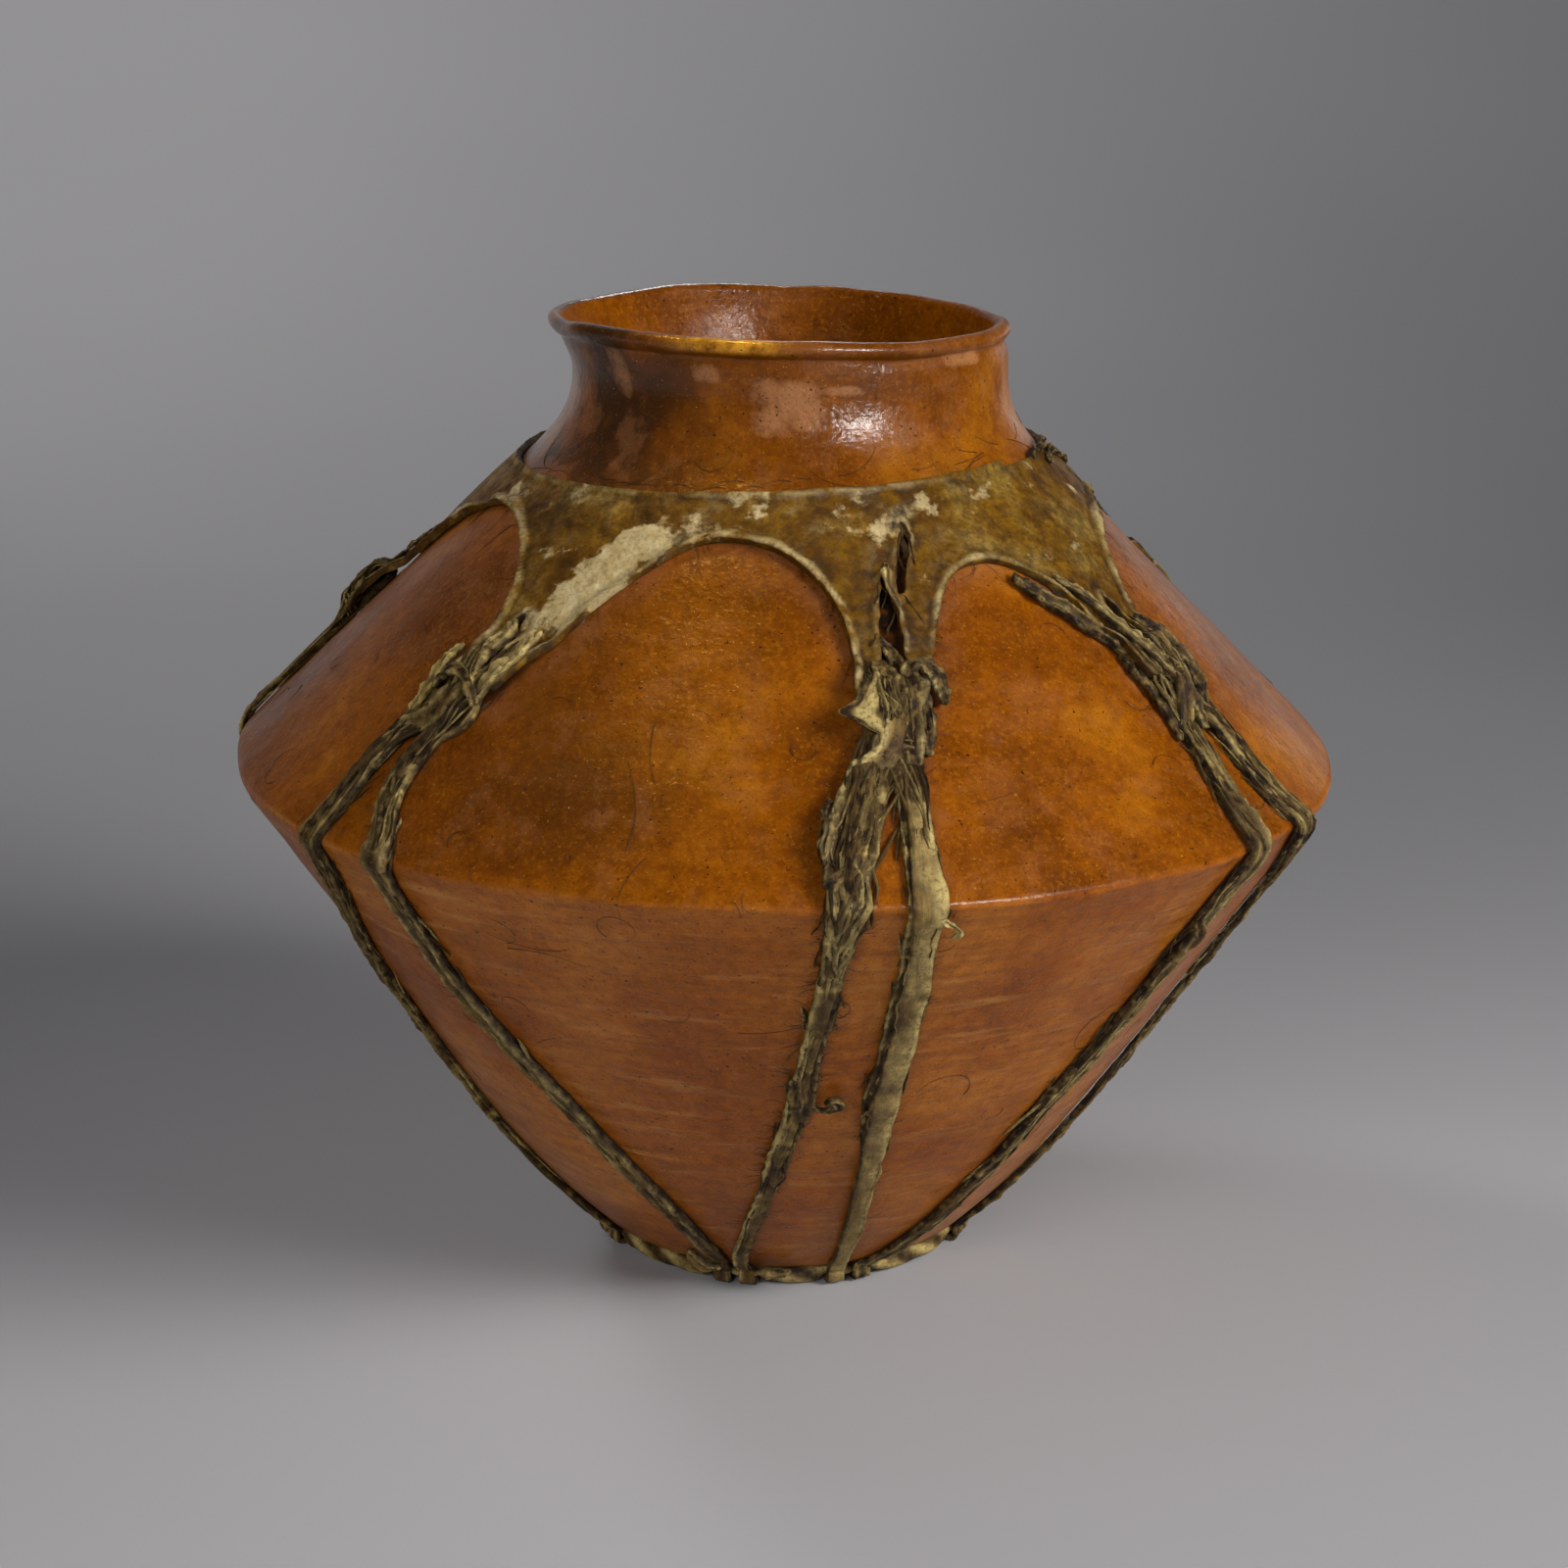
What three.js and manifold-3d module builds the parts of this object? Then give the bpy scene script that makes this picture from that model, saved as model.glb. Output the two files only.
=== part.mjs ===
// A hand-built, sharp-shouldered clay pot held in a net of dried rawhide, in millimetres, +Z up.
// The origin is the centre of the base ring, on the surface that the pot stands on.
// The side with the long open slit in the collar faces -Y. Angles are in degrees round the pot,
// 0 at the front (-Y) and positive towards +X.
//
// Pieces: the fired pot, one collar of hide with seven slit tabs, one thong looped through each
// slit and hitched by both ends round the base ring, the ring, and two loose thong ends.
// Everything but the pot was put on wet and has dried hard, so nothing moves.

import * as THREE from "three";
import { mergeVertices } from "three/addons/utils/BufferGeometryUtils.js";
import Module from "manifold-3d";

const { lerp, smoothstep } = THREE.MathUtils;

// Clay pot, outside
const potHeight = 215.5; // floor to the top of the lip
const edgeRadius = 125.8; // the sharp shoulder edge, before it is rounded
const edgeHeight = 117.5; // floor to that edge
const edgeRounding = 4.5; // radius worn on the edge
const baseRadius = 44; // where the underside turns up into the wall
const baseLift = 4.4; // floor to the underside above the ring
const baseDip = 1; // how far the middle of the underside sags below that
const baseSlope = 47; // lower wall where it leaves the base, degrees from upright
const baseReach = 36; // how far up it holds near that slope
const bellySlope = 34; // lower wall at the shoulder edge, degrees from upright
const bellyReach = 70; // how far down it holds near that slope
const shoulderSlope = 45.4; // shoulder, degrees from upright
const throatRadius = 48.4; // narrowest outside radius of the neck
const throatBelowLip = 12; // top of the lip to that narrowest place
const neckSpread = 20.1; // throat out to where the shoulder starts to curve up into the neck
const neckReach = 0.42; // share of the neck's height over which each end of that curve holds
const lipFlare = 0.2; // how far the middle of the lip stands outside the throat
const lipRound = 1.9; // radius of the rounded lip
const lipFrom = -72; // where the lip leaves the outside of the neck, degrees above level
const lipTo = 189; // where it meets the inside
const wall = 5.5; // clay thickness of the body
const neckWall = 4.2; // clay thickness at the throat

// Lean of the hand-built pot: every piece that lies on it follows
const edgeTilt = 0.014; // drop of the shoulder edge per millimetre towards +X
const lipTilt = 0.036; // drop of the lip per millimetre towards +X
const throatDrift = 1.3; // sideways offset of the throat towards +X
const lipDrift = -1.2; // sideways offset of the lip

// Rawhide
const hide = 1.3; // thickness of the collar
const laceThick = 1.8;
const laceWidth = 5.4;
const edgeSpread = 1.3; // how much wider a lace lies where it bends over the shoulder edge
const footThick = 1.4; // lace where it is hitched round the ring
const footWidth = 4.2;
const gap = 0.3; // air between pieces that lie on each other

// Slope of the shoulder, from its edge up to where it starts to curve into the neck
const degrees = Math.PI / 180;
const slope = (edgeRadius - throatRadius - neckSpread) / Math.sin(shoulderSlope * degrees);

// Collar. Distances run up the slope from the shoulder edge.
const collarClear = 9.2; // throat out to the collar's upper edge
const collarShift = [-2.2, -0.9]; // how far that edge sits towards +X and +Y
const tabTip = 0.497 * slope; // shoulder edge up to the end of a tab
const tabHalf = 7; // half the width of a tab at its end
const tabCorner = 2.5; // rounding of a tab's end
const bridge = 7; // hide left between a slit and the tab's end
const slitHalf = 3; // half the width of a slit at its widest
const tipLiftRun = 9; // length over which a tab lifts to clear the lace under it
const laceMeets = 12; // tab's end down to where the two spans of its lace come together

// Base ring, flush with the edge of the base
const ringWidth = 5.2;
const ringCorner = 1.5;

// Tabs, in order round the pot. meet is the angle at the ring where the left span of the
// tab's lace meets the right span of the tab before it. slit is its length, and lean the
// degrees that its upper end drifts. crown and rise give the top of the arch that follows:
// degrees on from the tab, and distance up as a share of the slope. Each span lies edge degrees
// beside the tab at the shoulder edge and top degrees beside it just below, and bows aside between.
const tabs = [
  {
    name: "far_left",
    angle: -99,
    meet: -124,
    slit: 16,
    lean: 0,
    crown: 35,
    rise: 1.02,
    left: { edge: -8, top: -3.5, bow: -2.5 },
    right: { edge: 6, top: 3, bow: 1.5 },
  },
  {
    name: "left",
    angle: -40.3,
    meet: -66,
    slit: 14,
    lean: 1,
    crown: 32,
    rise: 1.032,
    left: { edge: -9.7, top: -5.2, bow: -10 },
    right: { edge: -1.5, top: 1.8, bow: -1.3 },
  },
  {
    name: "front",
    angle: 12.6,
    meet: -14.6,
    slit: 39,
    lean: 8.5,
    crown: 21.5,
    rise: 0.944,
    left: { edge: -7.2, top: -3, bow: 2 },
    right: { edge: 0.5, top: 1.4, bow: -1 },
  },
  {
    name: "right",
    angle: 54.3,
    meet: 19.2,
    slit: 15,
    lean: 0,
    crown: 27,
    rise: 1.006,
    left: { edge: -3.7, top: -1.7, bow: 5.6 },
    right: { edge: 5.5, top: 4, bow: 5.1 },
  },
  {
    name: "right_back",
    angle: 119,
    meet: 69.5,
    slit: 17,
    lean: -1,
    crown: 25,
    rise: 0.982,
    left: { edge: -6, top: -3, bow: 3 },
    right: { edge: 6, top: 3, bow: 0.5 },
  },
  {
    name: "back",
    angle: 166.5,
    meet: 141,
    slit: 18,
    lean: 1,
    crown: 24,
    rise: 1.006,
    left: { edge: -5, top: -2.6, bow: 0 },
    right: { edge: 6, top: 3, bow: -0.5 },
  },
  {
    name: "left_back",
    angle: 214,
    meet: 190,
    slit: 15,
    lean: 0,
    crown: 24,
    rise: 0.969,
    left: { edge: -5, top: -3, bow: 0 },
    right: { edge: 6, top: 3, bow: 0 },
  },
];

// Loose end on the shoulder beside the right tab: degrees from that tab, distance above its end
const tuckedEnd = {
  width: 4,
  route: [
    [-14.5, 25.5],
    [-11.9, 19.5],
    [-9.1, 14],
    [-6.3, 8],
  ],
};

// Frayed end laid over the left span of the front lace, between two distances below its tab
const splicedEnd = { width: 7.2, thick: 1.4, from: 31.5, to: 15, pieces: 5 };

const lathe = 60; // facets round the pot
const facetSag = edgeRadius * (1 - Math.cos(Math.PI / lathe));

const wasm = await Module();
wasm.setup();

// A closed geometry as a solid for joining and cutting.
function solidOf(geometry) {
  const bare = geometry.clone();
  bare.deleteAttribute("normal");
  bare.deleteAttribute("uv");
  const merged = mergeVertices(bare, 1e-4);
  return new wasm.Manifold(
    new wasm.Mesh({
      numProp: 3,
      vertProperties: merged.attributes.position.array,
      triVerts: new Uint32Array(merged.index.array),
    }),
  );
}

function geometryOf(solid) {
  const mesh = solid.getMesh();
  const geometry = new THREE.BufferGeometry();
  const positions = new THREE.BufferAttribute(mesh.vertProperties, 3);
  geometry.setAttribute("position", positions);
  geometry.setIndex(new THREE.BufferAttribute(mesh.triVerts, 1));
  return geometry;
}

// A closed profile of radius and height, turned round the pot's axis.
function turned(profile) {
  return new THREE.LatheGeometry(profile, lathe).rotateX(Math.PI / 2);
}

function onCircle(radius, angle, height) {
  const turn = angle * degrees;
  return new THREE.Vector3(
    radius * Math.sin(turn),
    -radius * Math.cos(turn),
    height,
  );
}

// Level direction round the pot at an angle.
function acrossAt(angle) {
  return onCircle(1, angle + 90, 0);
}

// Profile points are radius (x) and height (y).
const at = (x, y) => new THREE.Vector2(x, y);
const up = (lean) => at(Math.sin(lean * degrees), Math.cos(lean * degrees));
const belly = up(bellySlope);
const shoulder = up(-shoulderSlope);

const basePoint = at(baseRadius, baseLift);
const edgePoint = at(edgeRadius, edgeHeight);
const neckFoot = throatRadius + neckSpread;
const neckPoint = edgePoint
  .clone()
  .addScaledVector(shoulder, (neckFoot - edgeRadius) / shoulder.x);
const throatHeight = potHeight - throatBelowLip;
const throatPoint = at(throatRadius, throatHeight);

// Wall from the base to the shoulder edge: steepening, then near straight.
function lowerWall(from, to, steps) {
  return new THREE.CubicBezierCurve(
    from,
    from.clone().addScaledVector(up(baseSlope), baseReach),
    to.clone().addScaledVector(belly, -bellyReach),
    to,
  ).getPoints(steps);
}

// The two walls meet at the shoulder edge in a worn arc tangent to both.
function wornEdge(steps) {
  const down = belly.clone().negate();
  const half = Math.acos(down.dot(shoulder)) / 2;
  const centre = down
    .clone()
    .add(shoulder)
    .setLength(edgeRounding / Math.sin(half))
    .add(edgePoint);
  const reach = edgeRounding / Math.tan(half);
  const from = edgePoint.clone().addScaledVector(down, reach).sub(centre);
  const sweep = Math.PI - 2 * half;
  return Array.from({ length: steps + 1 }, (_, i) =>
    from
      .clone()
      .rotateAround(at(0, 0), (sweep * i) / steps)
      .add(centre),
  );
}

// Hollow curve from the shoulder up into the upright throat.
function neckCurve(from, to, steps) {
  const reach = (to.y - from.y) * neckReach;
  return new THREE.CubicBezierCurve(
    from,
    from.clone().addScaledVector(shoulder, reach / shoulder.y),
    at(to.x, to.y - reach),
    to,
  ).getPoints(steps);
}

// Outside of the pot from the base to the throat, which everything else lies on.
const edgeArc = wornEdge(5);
const bellyPoints = lowerWall(basePoint, edgePoint, 10).filter(
  (point) => point.y < edgeArc[0].y - edgeRounding / 4,
);
const neckPoints = neckCurve(neckPoint, throatPoint, 6);
const outside = [...bellyPoints, ...edgeArc, ...neckPoints];

// Length of that profile from the base up to each of its points.
const lengths = outside.reduce(
  (marks, point, i) =>
    i === 0 ? [0] : [...marks, marks[i - 1] + point.distanceTo(outside[i - 1])],
  [],
);
const shoulderFrom = bellyPoints.length + edgeArc.length - 1;
const edgeLength = (lengths[bellyPoints.length] + lengths[shoulderFrom]) / 2;
const fromEdge = (distance) => edgeLength + distance;

const normals = outside.map((point, i) => {
  const before = outside[Math.max(0, i - 1)];
  const after = outside[Math.min(outside.length - 1, i + 1)];
  const tangent = after.clone().sub(before).normalize();
  return at(tangent.y, -tangent.x);
});

// Point of the profile at a length, lifted off the clay.
function profileAt(length, lift) {
  const above = lengths.findIndex((mark) => mark > length);
  const i = above < 0 ? lengths.length - 1 : Math.max(1, above);
  const share = (length - lengths[i - 1]) / (lengths[i] - lengths[i - 1]);
  const point = outside[i - 1].clone().lerp(outside[i], share);
  const normal = normals[i - 1].clone().lerp(normals[i], share).normalize();
  return point.addScaledVector(normal, lift);
}

function onPot(length, angle, lift) {
  const point = profileAt(length, lift);
  return onCircle(point.x, angle, point.y);
}

// Tilts and shifts a finished piece as the leaning pot does.
function settle(geometry) {
  const position = geometry.attributes.position;
  for (let i = 0; i < position.count; i += 1) {
    const x = position.getX(i);
    const z = position.getZ(i);
    const lip = smoothstep(z, throatHeight, potHeight);
    const edge =
      smoothstep(z, 2 * baseLift, edgeHeight) -
      smoothstep(z, edgeHeight, throatHeight);
    const neck = smoothstep(z, neckPoint.y, throatHeight);
    position.setX(i, x + lerp(throatDrift * neck, lipDrift, lip));
    position.setZ(i, z - x * (edgeTilt * edge + lipTilt * lip));
  }
  geometry.computeVertexNormals();
  return geometry;
}

// Where the inner faces of the two walls meet, opposite the shoulder edge.
function innerEdge() {
  const lower = edgePoint
    .clone()
    .add(at(-belly.y, belly.x).multiplyScalar(wall));
  const upper = edgePoint
    .clone()
    .add(at(-shoulder.y, shoulder.x).multiplyScalar(wall));
  const share = upper.sub(lower).cross(shoulder) / belly.cross(shoulder);
  return lower.addScaledVector(belly, share);
}

function clayPot() {
  const dipRadius = hitchInside - gap;
  const underside = new THREE.QuadraticBezierCurve(
    at(0, baseLift - baseDip),
    at(dipRadius / 2, baseLift - baseDip),
    at(dipRadius, baseLift),
  ).getPoints(3);
  const lip = new THREE.Path()
    .absarc(
      throatRadius + lipFlare,
      potHeight - lipRound,
      lipRound,
      lipFrom * degrees,
      lipTo * degrees,
    )
    .getPoints(7);
  const innerNeck = neckPoint
    .clone()
    .add(at(-shoulder.y, shoulder.x).multiplyScalar(wall));
  const innerThroat = at(throatRadius - neckWall, throatHeight);
  const innerBase = at(baseRadius - wall, baseLift + wall);
  const inside = [
    ...neckCurve(innerNeck, innerThroat, 4).reverse(),
    ...lowerWall(innerBase, innerEdge(), 6).reverse(),
    at(0, baseLift - baseDip + wall),
  ];
  return turned([...underside, ...outside, ...lip, ...inside]);
}

// How far the underside of the collar stands off the clay: a tab lifts over its lace.
function collarLift(distance) {
  const raised = gap + laceThick + gap + facetSag;
  const foot = tabTip + bridge;
  return lerp(raised, gap, smoothstep(distance, foot, foot + tipLiftRun));
}

// Band of hide all round the shoulder, before it is cut to its outline.
function collarBand() {
  const steps = 3;
  const marks = [tabTip];
  for (let i = 0; i <= steps; i += 1)
    marks.push(tabTip + bridge + (tipLiftRun * i) / steps);
  for (let i = shoulderFrom + 1; i < lengths.length; i += 1)
    marks.push(lengths[i] - edgeLength);
  const under = marks.map((mark) => profileAt(fromEdge(mark), collarLift(mark)));
  const over = marks.map((mark) =>
    profileAt(fromEdge(mark), collarLift(mark) + hide),
  );
  return turned([...over, ...under.reverse(), over[0].clone()]);
}

// Angle at a distance up the slope, moved sideways by a length measured round the pot.
function beside(angle, distance, aside) {
  const radius = profileAt(fromEdge(distance), 0).x;
  return at(angle + aside / radius / degrees, distance);
}

// An outline in angle and distance, as a solid that stands right through the collar.
function cutterOf(outline) {
  const reach = 3 * tabHalf;
  const shape = new THREE.Shape(outline);
  const geometry = new THREE.ExtrudeGeometry(shape, {
    depth: 1,
    bevelEnabled: false,
  });
  const position = geometry.attributes.position;
  for (let i = 0; i < position.count; i += 1) {
    const lift = lerp(-reach / 2, reach, position.getZ(i));
    const length = fromEdge(position.getY(i));
    const point = onPot(length, position.getX(i), lift);
    position.setXYZ(i, point.x, point.y, point.z);
  }
  return solidOf(geometry);
}

// Opening between two neighbouring tabs: round each tab's corner, then over in an arch.
function archOutline(tab, next) {
  const steps = 7;
  const foot = tabTip + tabCorner;
  const crown = tab.angle + tab.crown;
  const side = beside(0, foot, tabHalf).x;
  const corner = beside(0, foot, tabCorner).x;
  const from = tab.angle + side;
  const to = next.angle - side;
  const rounded = tabCorner * (1 - Math.SQRT1_2);
  const outline = [
    beside(tab.angle, tabTip + rounded, tabHalf - rounded),
  ];
  for (let i = 0; i <= 2 * steps; i += 1) {
    const turn = (Math.PI * i) / (2 * steps);
    const reach = i < steps ? crown - from : to - crown;
    const distance = lerp(foot, tab.rise * slope, Math.sin(turn));
    outline.push(at(crown - reach * Math.cos(turn), distance));
  }
  outline.push(beside(next.angle, tabTip + rounded, rounded - tabHalf));
  for (let i = steps; i >= 0; i -= 1) {
    const angle = lerp(from - corner, to + corner, i / steps);
    outline.push(at(angle, tabTip - gap));
  }
  return outline.reverse();
}

// Slit in a tab: widest at the bridge, closing to a point at its upper end.
function slitOutline(tab) {
  const steps = 6;
  const left = [];
  const right = [];
  for (let i = 0; i <= steps; i += 1) {
    const share = i / steps;
    const half = slitHalf * (1 - share ** 2);
    const angle = tab.angle + tab.lean * share ** 2;
    const distance = tabTip + bridge + tab.slit * share;
    right.push(beside(angle, distance, half));
    if (i < steps) left.unshift(beside(angle, distance, -half));
  }
  return [...right, ...left];
}

function rawhideCollar() {
  const holeRadius = throatRadius + collarClear;
  const mouth = new THREE.CylinderGeometry(
    holeRadius,
    holeRadius,
    2 * throatHeight,
    lathe,
  )
    .rotateX(Math.PI / 2)
    .translate(...collarShift, throatHeight);
  let collar = solidOf(collarBand()).subtract(solidOf(mouth));
  tabs.forEach((tab, i) => {
    collar = collar
      .subtract(cutterOf(archOutline(tab, tabAfter(i))))
      .subtract(cutterOf(slitOutline(tab)));
  });
  return geometryOf(collar);
}

// The next tab round the pot, with its angles counted on past a full turn.
function tabAfter(i) {
  const next = tabs[(i + 1) % tabs.length];
  const turn = i + 1 === tabs.length ? 360 : 0;
  return { ...next, angle: next.angle + turn, meet: next.meet + turn };
}

// A flat thong through its stations, each with a middle, a width, a thickness and the
// direction across it.
function ribbon(stations) {
  const section = new THREE.Shape([
    at(0.5, 0),
    at(0.32, 0.5),
    at(-0.32, 0.5),
    at(-0.5, 0),
    at(-0.32, -0.5),
    at(0.32, -0.5),
  ]);
  const last = stations.length - 1;
  const geometry = new THREE.ExtrudeGeometry(section, {
    depth: last,
    steps: last,
    bevelEnabled: false,
  });
  const position = geometry.attributes.position;
  for (let i = 0; i < position.count; i += 1) {
    const k = Math.round(position.getZ(i));
    const { middle, width, thick, across } = stations[k];
    const before = stations[Math.max(0, k - 1)].middle;
    const after = stations[Math.min(last, k + 1)].middle;
    const forward = after.clone().sub(before).normalize();
    const side = across
      .clone()
      .projectOnPlane(forward)
      .normalize();
    const through = forward.clone().cross(side);
    const point = middle
      .clone()
      .addScaledVector(side, position.getX(i) * width)
      .addScaledVector(through, position.getY(i) * thick);
    position.setXYZ(i, point.x, point.y, point.z);
  }
  return geometry;
}

// Station of a thong that lies on the clay or over it.
function station(length, angle, lift, width, thick = laceThick) {
  return {
    middle: onPot(length, angle, lift),
    across: acrossAt(angle),
    width,
    thick,
  };
}

const ringRadius = baseRadius - ringWidth / 2;
const ringHeight = baseLift - gap;
const hitchInside = ringRadius - ringWidth / 2 - gap - footThick;
const hitchTop = gap + footThick + gap; // height that the ring leaves free for a hitch

// Half the angle between two hitches that lie side by side.
const meetHalf =
  Math.asin((footWidth / 2 + 2 * gap) / (hitchInside + footThick / 2)) /
  degrees;

// The lace's end: from inside the ring down, under it, and up the outside.
function hitch(angle) {
  const inner = hitchInside + footThick / 2;
  const outer = ringRadius + ringWidth / 2 + gap + footThick / 2;
  const low = gap + footThick / 2;
  const turn = gap + footThick / 2;
  const corner = turn * (1 - Math.SQRT1_2);
  return [
    [inner, ringHeight - gap],
    [inner, low + turn],
    [inner + corner, low + corner],
    [inner + turn, low],
    [outer - turn, low],
    [outer - corner, low + corner],
    [outer, low + turn],
    [outer, ringHeight],
  ].map(([radius, height]) => ({
    middle: onCircle(radius, angle, height),
    across: acrossAt(angle),
    width: footWidth,
    thick: footThick,
  }));
}

// Smooth angle along a span, through one angle at each of its marks.
function angleAlong(marks, angles) {
  const curve = new THREE.SplineCurve(marks.map((mark, i) => at(mark, angles[i])));
  return (length) => {
    let low = 0;
    let high = 1;
    for (let i = 0; i < 30; i += 1) {
      const middle = (low + high) / 2;
      if (curve.getPoint(middle).x < length) low = middle;
      else high = middle;
    }
    return curve.getPoint(low).y;
  };
}

// Angle along the left or right span of a tab's lace, from the ring to just below the tab.
function spanAngle(tab, side) {
  const next = tabAfter(tabs.indexOf(tab));
  const ring = side === "left" ? tab.meet + meetHalf : next.meet - meetHalf;
  const edge = tab.angle + tab[side].edge;
  const marks = [0, edgeLength / 2, edgeLength, fromEdge(tabTip - laceMeets)];
  const halfway = (ring + edge) / 2 + tab[side].bow;
  return angleAlong(marks, [ring, halfway, edge, tab.angle + tab[side].top]);
}

function widthAt(length) {
  const up = smoothstep(length, 0, edgeLength / 2);
  const away = Math.abs(length - edgeLength);
  const over = 1 - smoothstep(away, edgeRounding, 4 * edgeRounding);
  return lerp(footWidth, laceWidth, up) * lerp(1, edgeSpread, over);
}

// One span up the outside of the pot, with a section at each bend of the wall.
function span(tab, side) {
  const steps = 5;
  const top = fromEdge(tabTip - laceMeets);
  const angleAt = spanAngle(tab, side);
  const marks = lengths.slice(1, shoulderFrom + 1);
  for (let i = 1; i <= steps; i += 1)
    marks.push(lerp(lengths[shoulderFrom], top, i / steps));
  const onWall = marks.map((length) => {
    const thick = lerp(
      footThick,
      laceThick,
      smoothstep(length, 0, edgeLength / 3),
    );
    const lift = gap + thick / 2;
    return station(length, angleAt(length), lift, widthAt(length), thick);
  });
  return [...hitch(angleAt(0)), ...onWall];
}

// A thong up from the ring, over the bridge of its tab, through the slit, back under the
// bridge and down to the ring again.
function laceLoop(tab) {
  const low = gap + laceThick / 2;
  const high = collarLift(tabTip) + hide + gap + laceThick / 2;
  const width = 2 * slitHalf - 4 * gap;
  const past = gap + laceThick / 2;
  const corner = past * (1 - Math.SQRT1_2);
  const slitFoot = tabTip + bridge;
  const overFrom = tab.angle + tab.left.top;
  const underFrom = tab.angle + tab.right.top;
  const run = (distance, angle, lift) =>
    station(fromEdge(distance), angle, lift, width);
  return ribbon([
    ...span(tab, "left"),
    run(
      tabTip - laceMeets * 0.65,
      lerp(overFrom, tab.angle, 0.35),
      lerp(low, high, 0.55),
    ),
    run(tabTip - laceMeets / 3, lerp(overFrom, tab.angle, 0.75), high),
    run(tabTip, tab.angle, high),
    run(slitFoot, tab.angle, high),
    run(slitFoot + past - corner, tab.angle, high - corner),
    run(slitFoot + past, tab.angle, high - past),
    run(slitFoot + past, tab.angle, low + past),
    run(slitFoot + past - corner, tab.angle, low + corner),
    run(slitFoot, tab.angle, low),
    run(tabTip, tab.angle, low),
    run(tabTip - laceMeets / 2, lerp(underFrom, tab.angle, 0.35), low),
    ...span(tab, "right").reverse(),
  ]);
}

// Ring of twisted hide under the pot, pinched where two hitches pass beneath it.
function baseRing() {
  const half = ringWidth / 2;
  const bulge = ringCorner / 5;
  const side = ringCorner * 0.6;
  const section = [
    at(ringCorner - half, 0),
    at(half - ringCorner, 0),
    at(half - bulge, side),
    at(half, ringHeight / 2),
    at(half - bulge, ringHeight - side),
    at(half - ringCorner, ringHeight),
    at(ringCorner - half, ringHeight),
    at(bulge - half, ringHeight - side),
    at(-half, ringHeight / 2),
    at(bulge - half, side),
    at(ringCorner - half, 0),
  ].map((point) => point.add(at(ringRadius, 0)));
  let ring = solidOf(turned(section));
  const outer = ringRadius + half + gap + footThick;
  const halfChord =
    outer * Math.sin(meetHalf * degrees) + footWidth / 2 + gap;
  tabs.forEach(({ meet }) => {
    const notch = new THREE.BoxGeometry(
      2 * halfChord,
      2 * ringWidth,
      2 * hitchTop,
    )
      .translate(0, -ringRadius, 0)
      .rotateZ(meet * degrees);
    ring = ring.subtract(solidOf(notch));
  });
  return geometryOf(ring);
}

function tuckedLaceEnd() {
  const right = tabs.find(({ name }) => name === "right");
  const stations = tuckedEnd.route.map(([aside, above], i) => {
    const width = tuckedEnd.width * (i === 0 ? 0.6 : 1);
    const length = fromEdge(tabTip + above);
    return station(length, right.angle + aside, gap + laceThick / 2, width);
  });
  return ribbon(stations);
}

function splicedLaceEnd() {
  const front = tabs.find(({ name }) => name === "front");
  const { width, thick, from, to, pieces } = splicedEnd;
  const angleAt = spanAngle(front, "left");
  const lift = gap + laceThick + gap + thick / 2;
  const stations = Array.from({ length: pieces + 1 }, (_, i) => {
    const length = fromEdge(tabTip - lerp(from, to, i / pieces));
    return station(length, angleAt(length), lift, width, thick);
  });
  return ribbon(stations);
}

function piece(name, geometry, color, roughness) {
  const finish = { color, roughness, metalness: 0 };
  const material = new THREE.MeshStandardMaterial(finish);
  const mesh = new THREE.Mesh(settle(geometry), material);
  mesh.name = name;
  return mesh;
}

const amberClay = 0xa8551c;
const oliveHide = 0x7a6a3c;
const greyHide = 0x8a7a50;

const harness = new THREE.Group();
harness.add(piece("rawhide_collar", rawhideCollar(), oliveHide, 0.65));
harness.add(piece("base_ring", baseRing(), greyHide, 0.75));
tabs.forEach((tab) =>
  harness.add(piece(`lace_${tab.name}`, laceLoop(tab), greyHide, 0.75)),
);
harness.add(piece("tucked_lace_end", tuckedLaceEnd(), greyHide, 0.75));
harness.add(piece("spliced_lace_end", splicedLaceEnd(), greyHide, 0.8));

const wrappedPot = new THREE.Group();
wrappedPot.add(piece("clay_pot", clayPot(), amberClay, 0.3));
wrappedPot.add(harness);

export default wrappedPot;
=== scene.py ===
import math
import random
import bpy
from bisect import bisect_right
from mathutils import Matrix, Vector, kdtree, noise
from mathutils.geometry import interpolate_bezier


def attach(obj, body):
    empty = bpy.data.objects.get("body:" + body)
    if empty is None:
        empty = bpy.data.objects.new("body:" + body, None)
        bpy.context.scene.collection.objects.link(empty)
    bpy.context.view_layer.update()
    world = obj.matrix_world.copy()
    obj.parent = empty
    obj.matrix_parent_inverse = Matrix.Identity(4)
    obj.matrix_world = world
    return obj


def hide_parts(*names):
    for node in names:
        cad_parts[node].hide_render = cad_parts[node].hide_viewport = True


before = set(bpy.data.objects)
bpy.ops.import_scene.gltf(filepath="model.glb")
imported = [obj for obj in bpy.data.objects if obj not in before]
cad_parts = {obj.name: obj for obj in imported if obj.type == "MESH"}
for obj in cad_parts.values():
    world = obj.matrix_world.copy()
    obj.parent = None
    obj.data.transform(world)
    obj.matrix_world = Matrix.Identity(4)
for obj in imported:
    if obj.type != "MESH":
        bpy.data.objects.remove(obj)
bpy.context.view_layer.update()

# A clay pot in a net of dried rawhide. Shapes are worked out in millimetres, as in the CAD,
# and written to the meshes in metres. Angles are in degrees round the pot, 0 at the front (-Y)
# and positive towards +X.
mm = 0.001
tau = math.tau


def clamped(value, most=1.0):
    return max(0.0, min(most, value))


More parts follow.
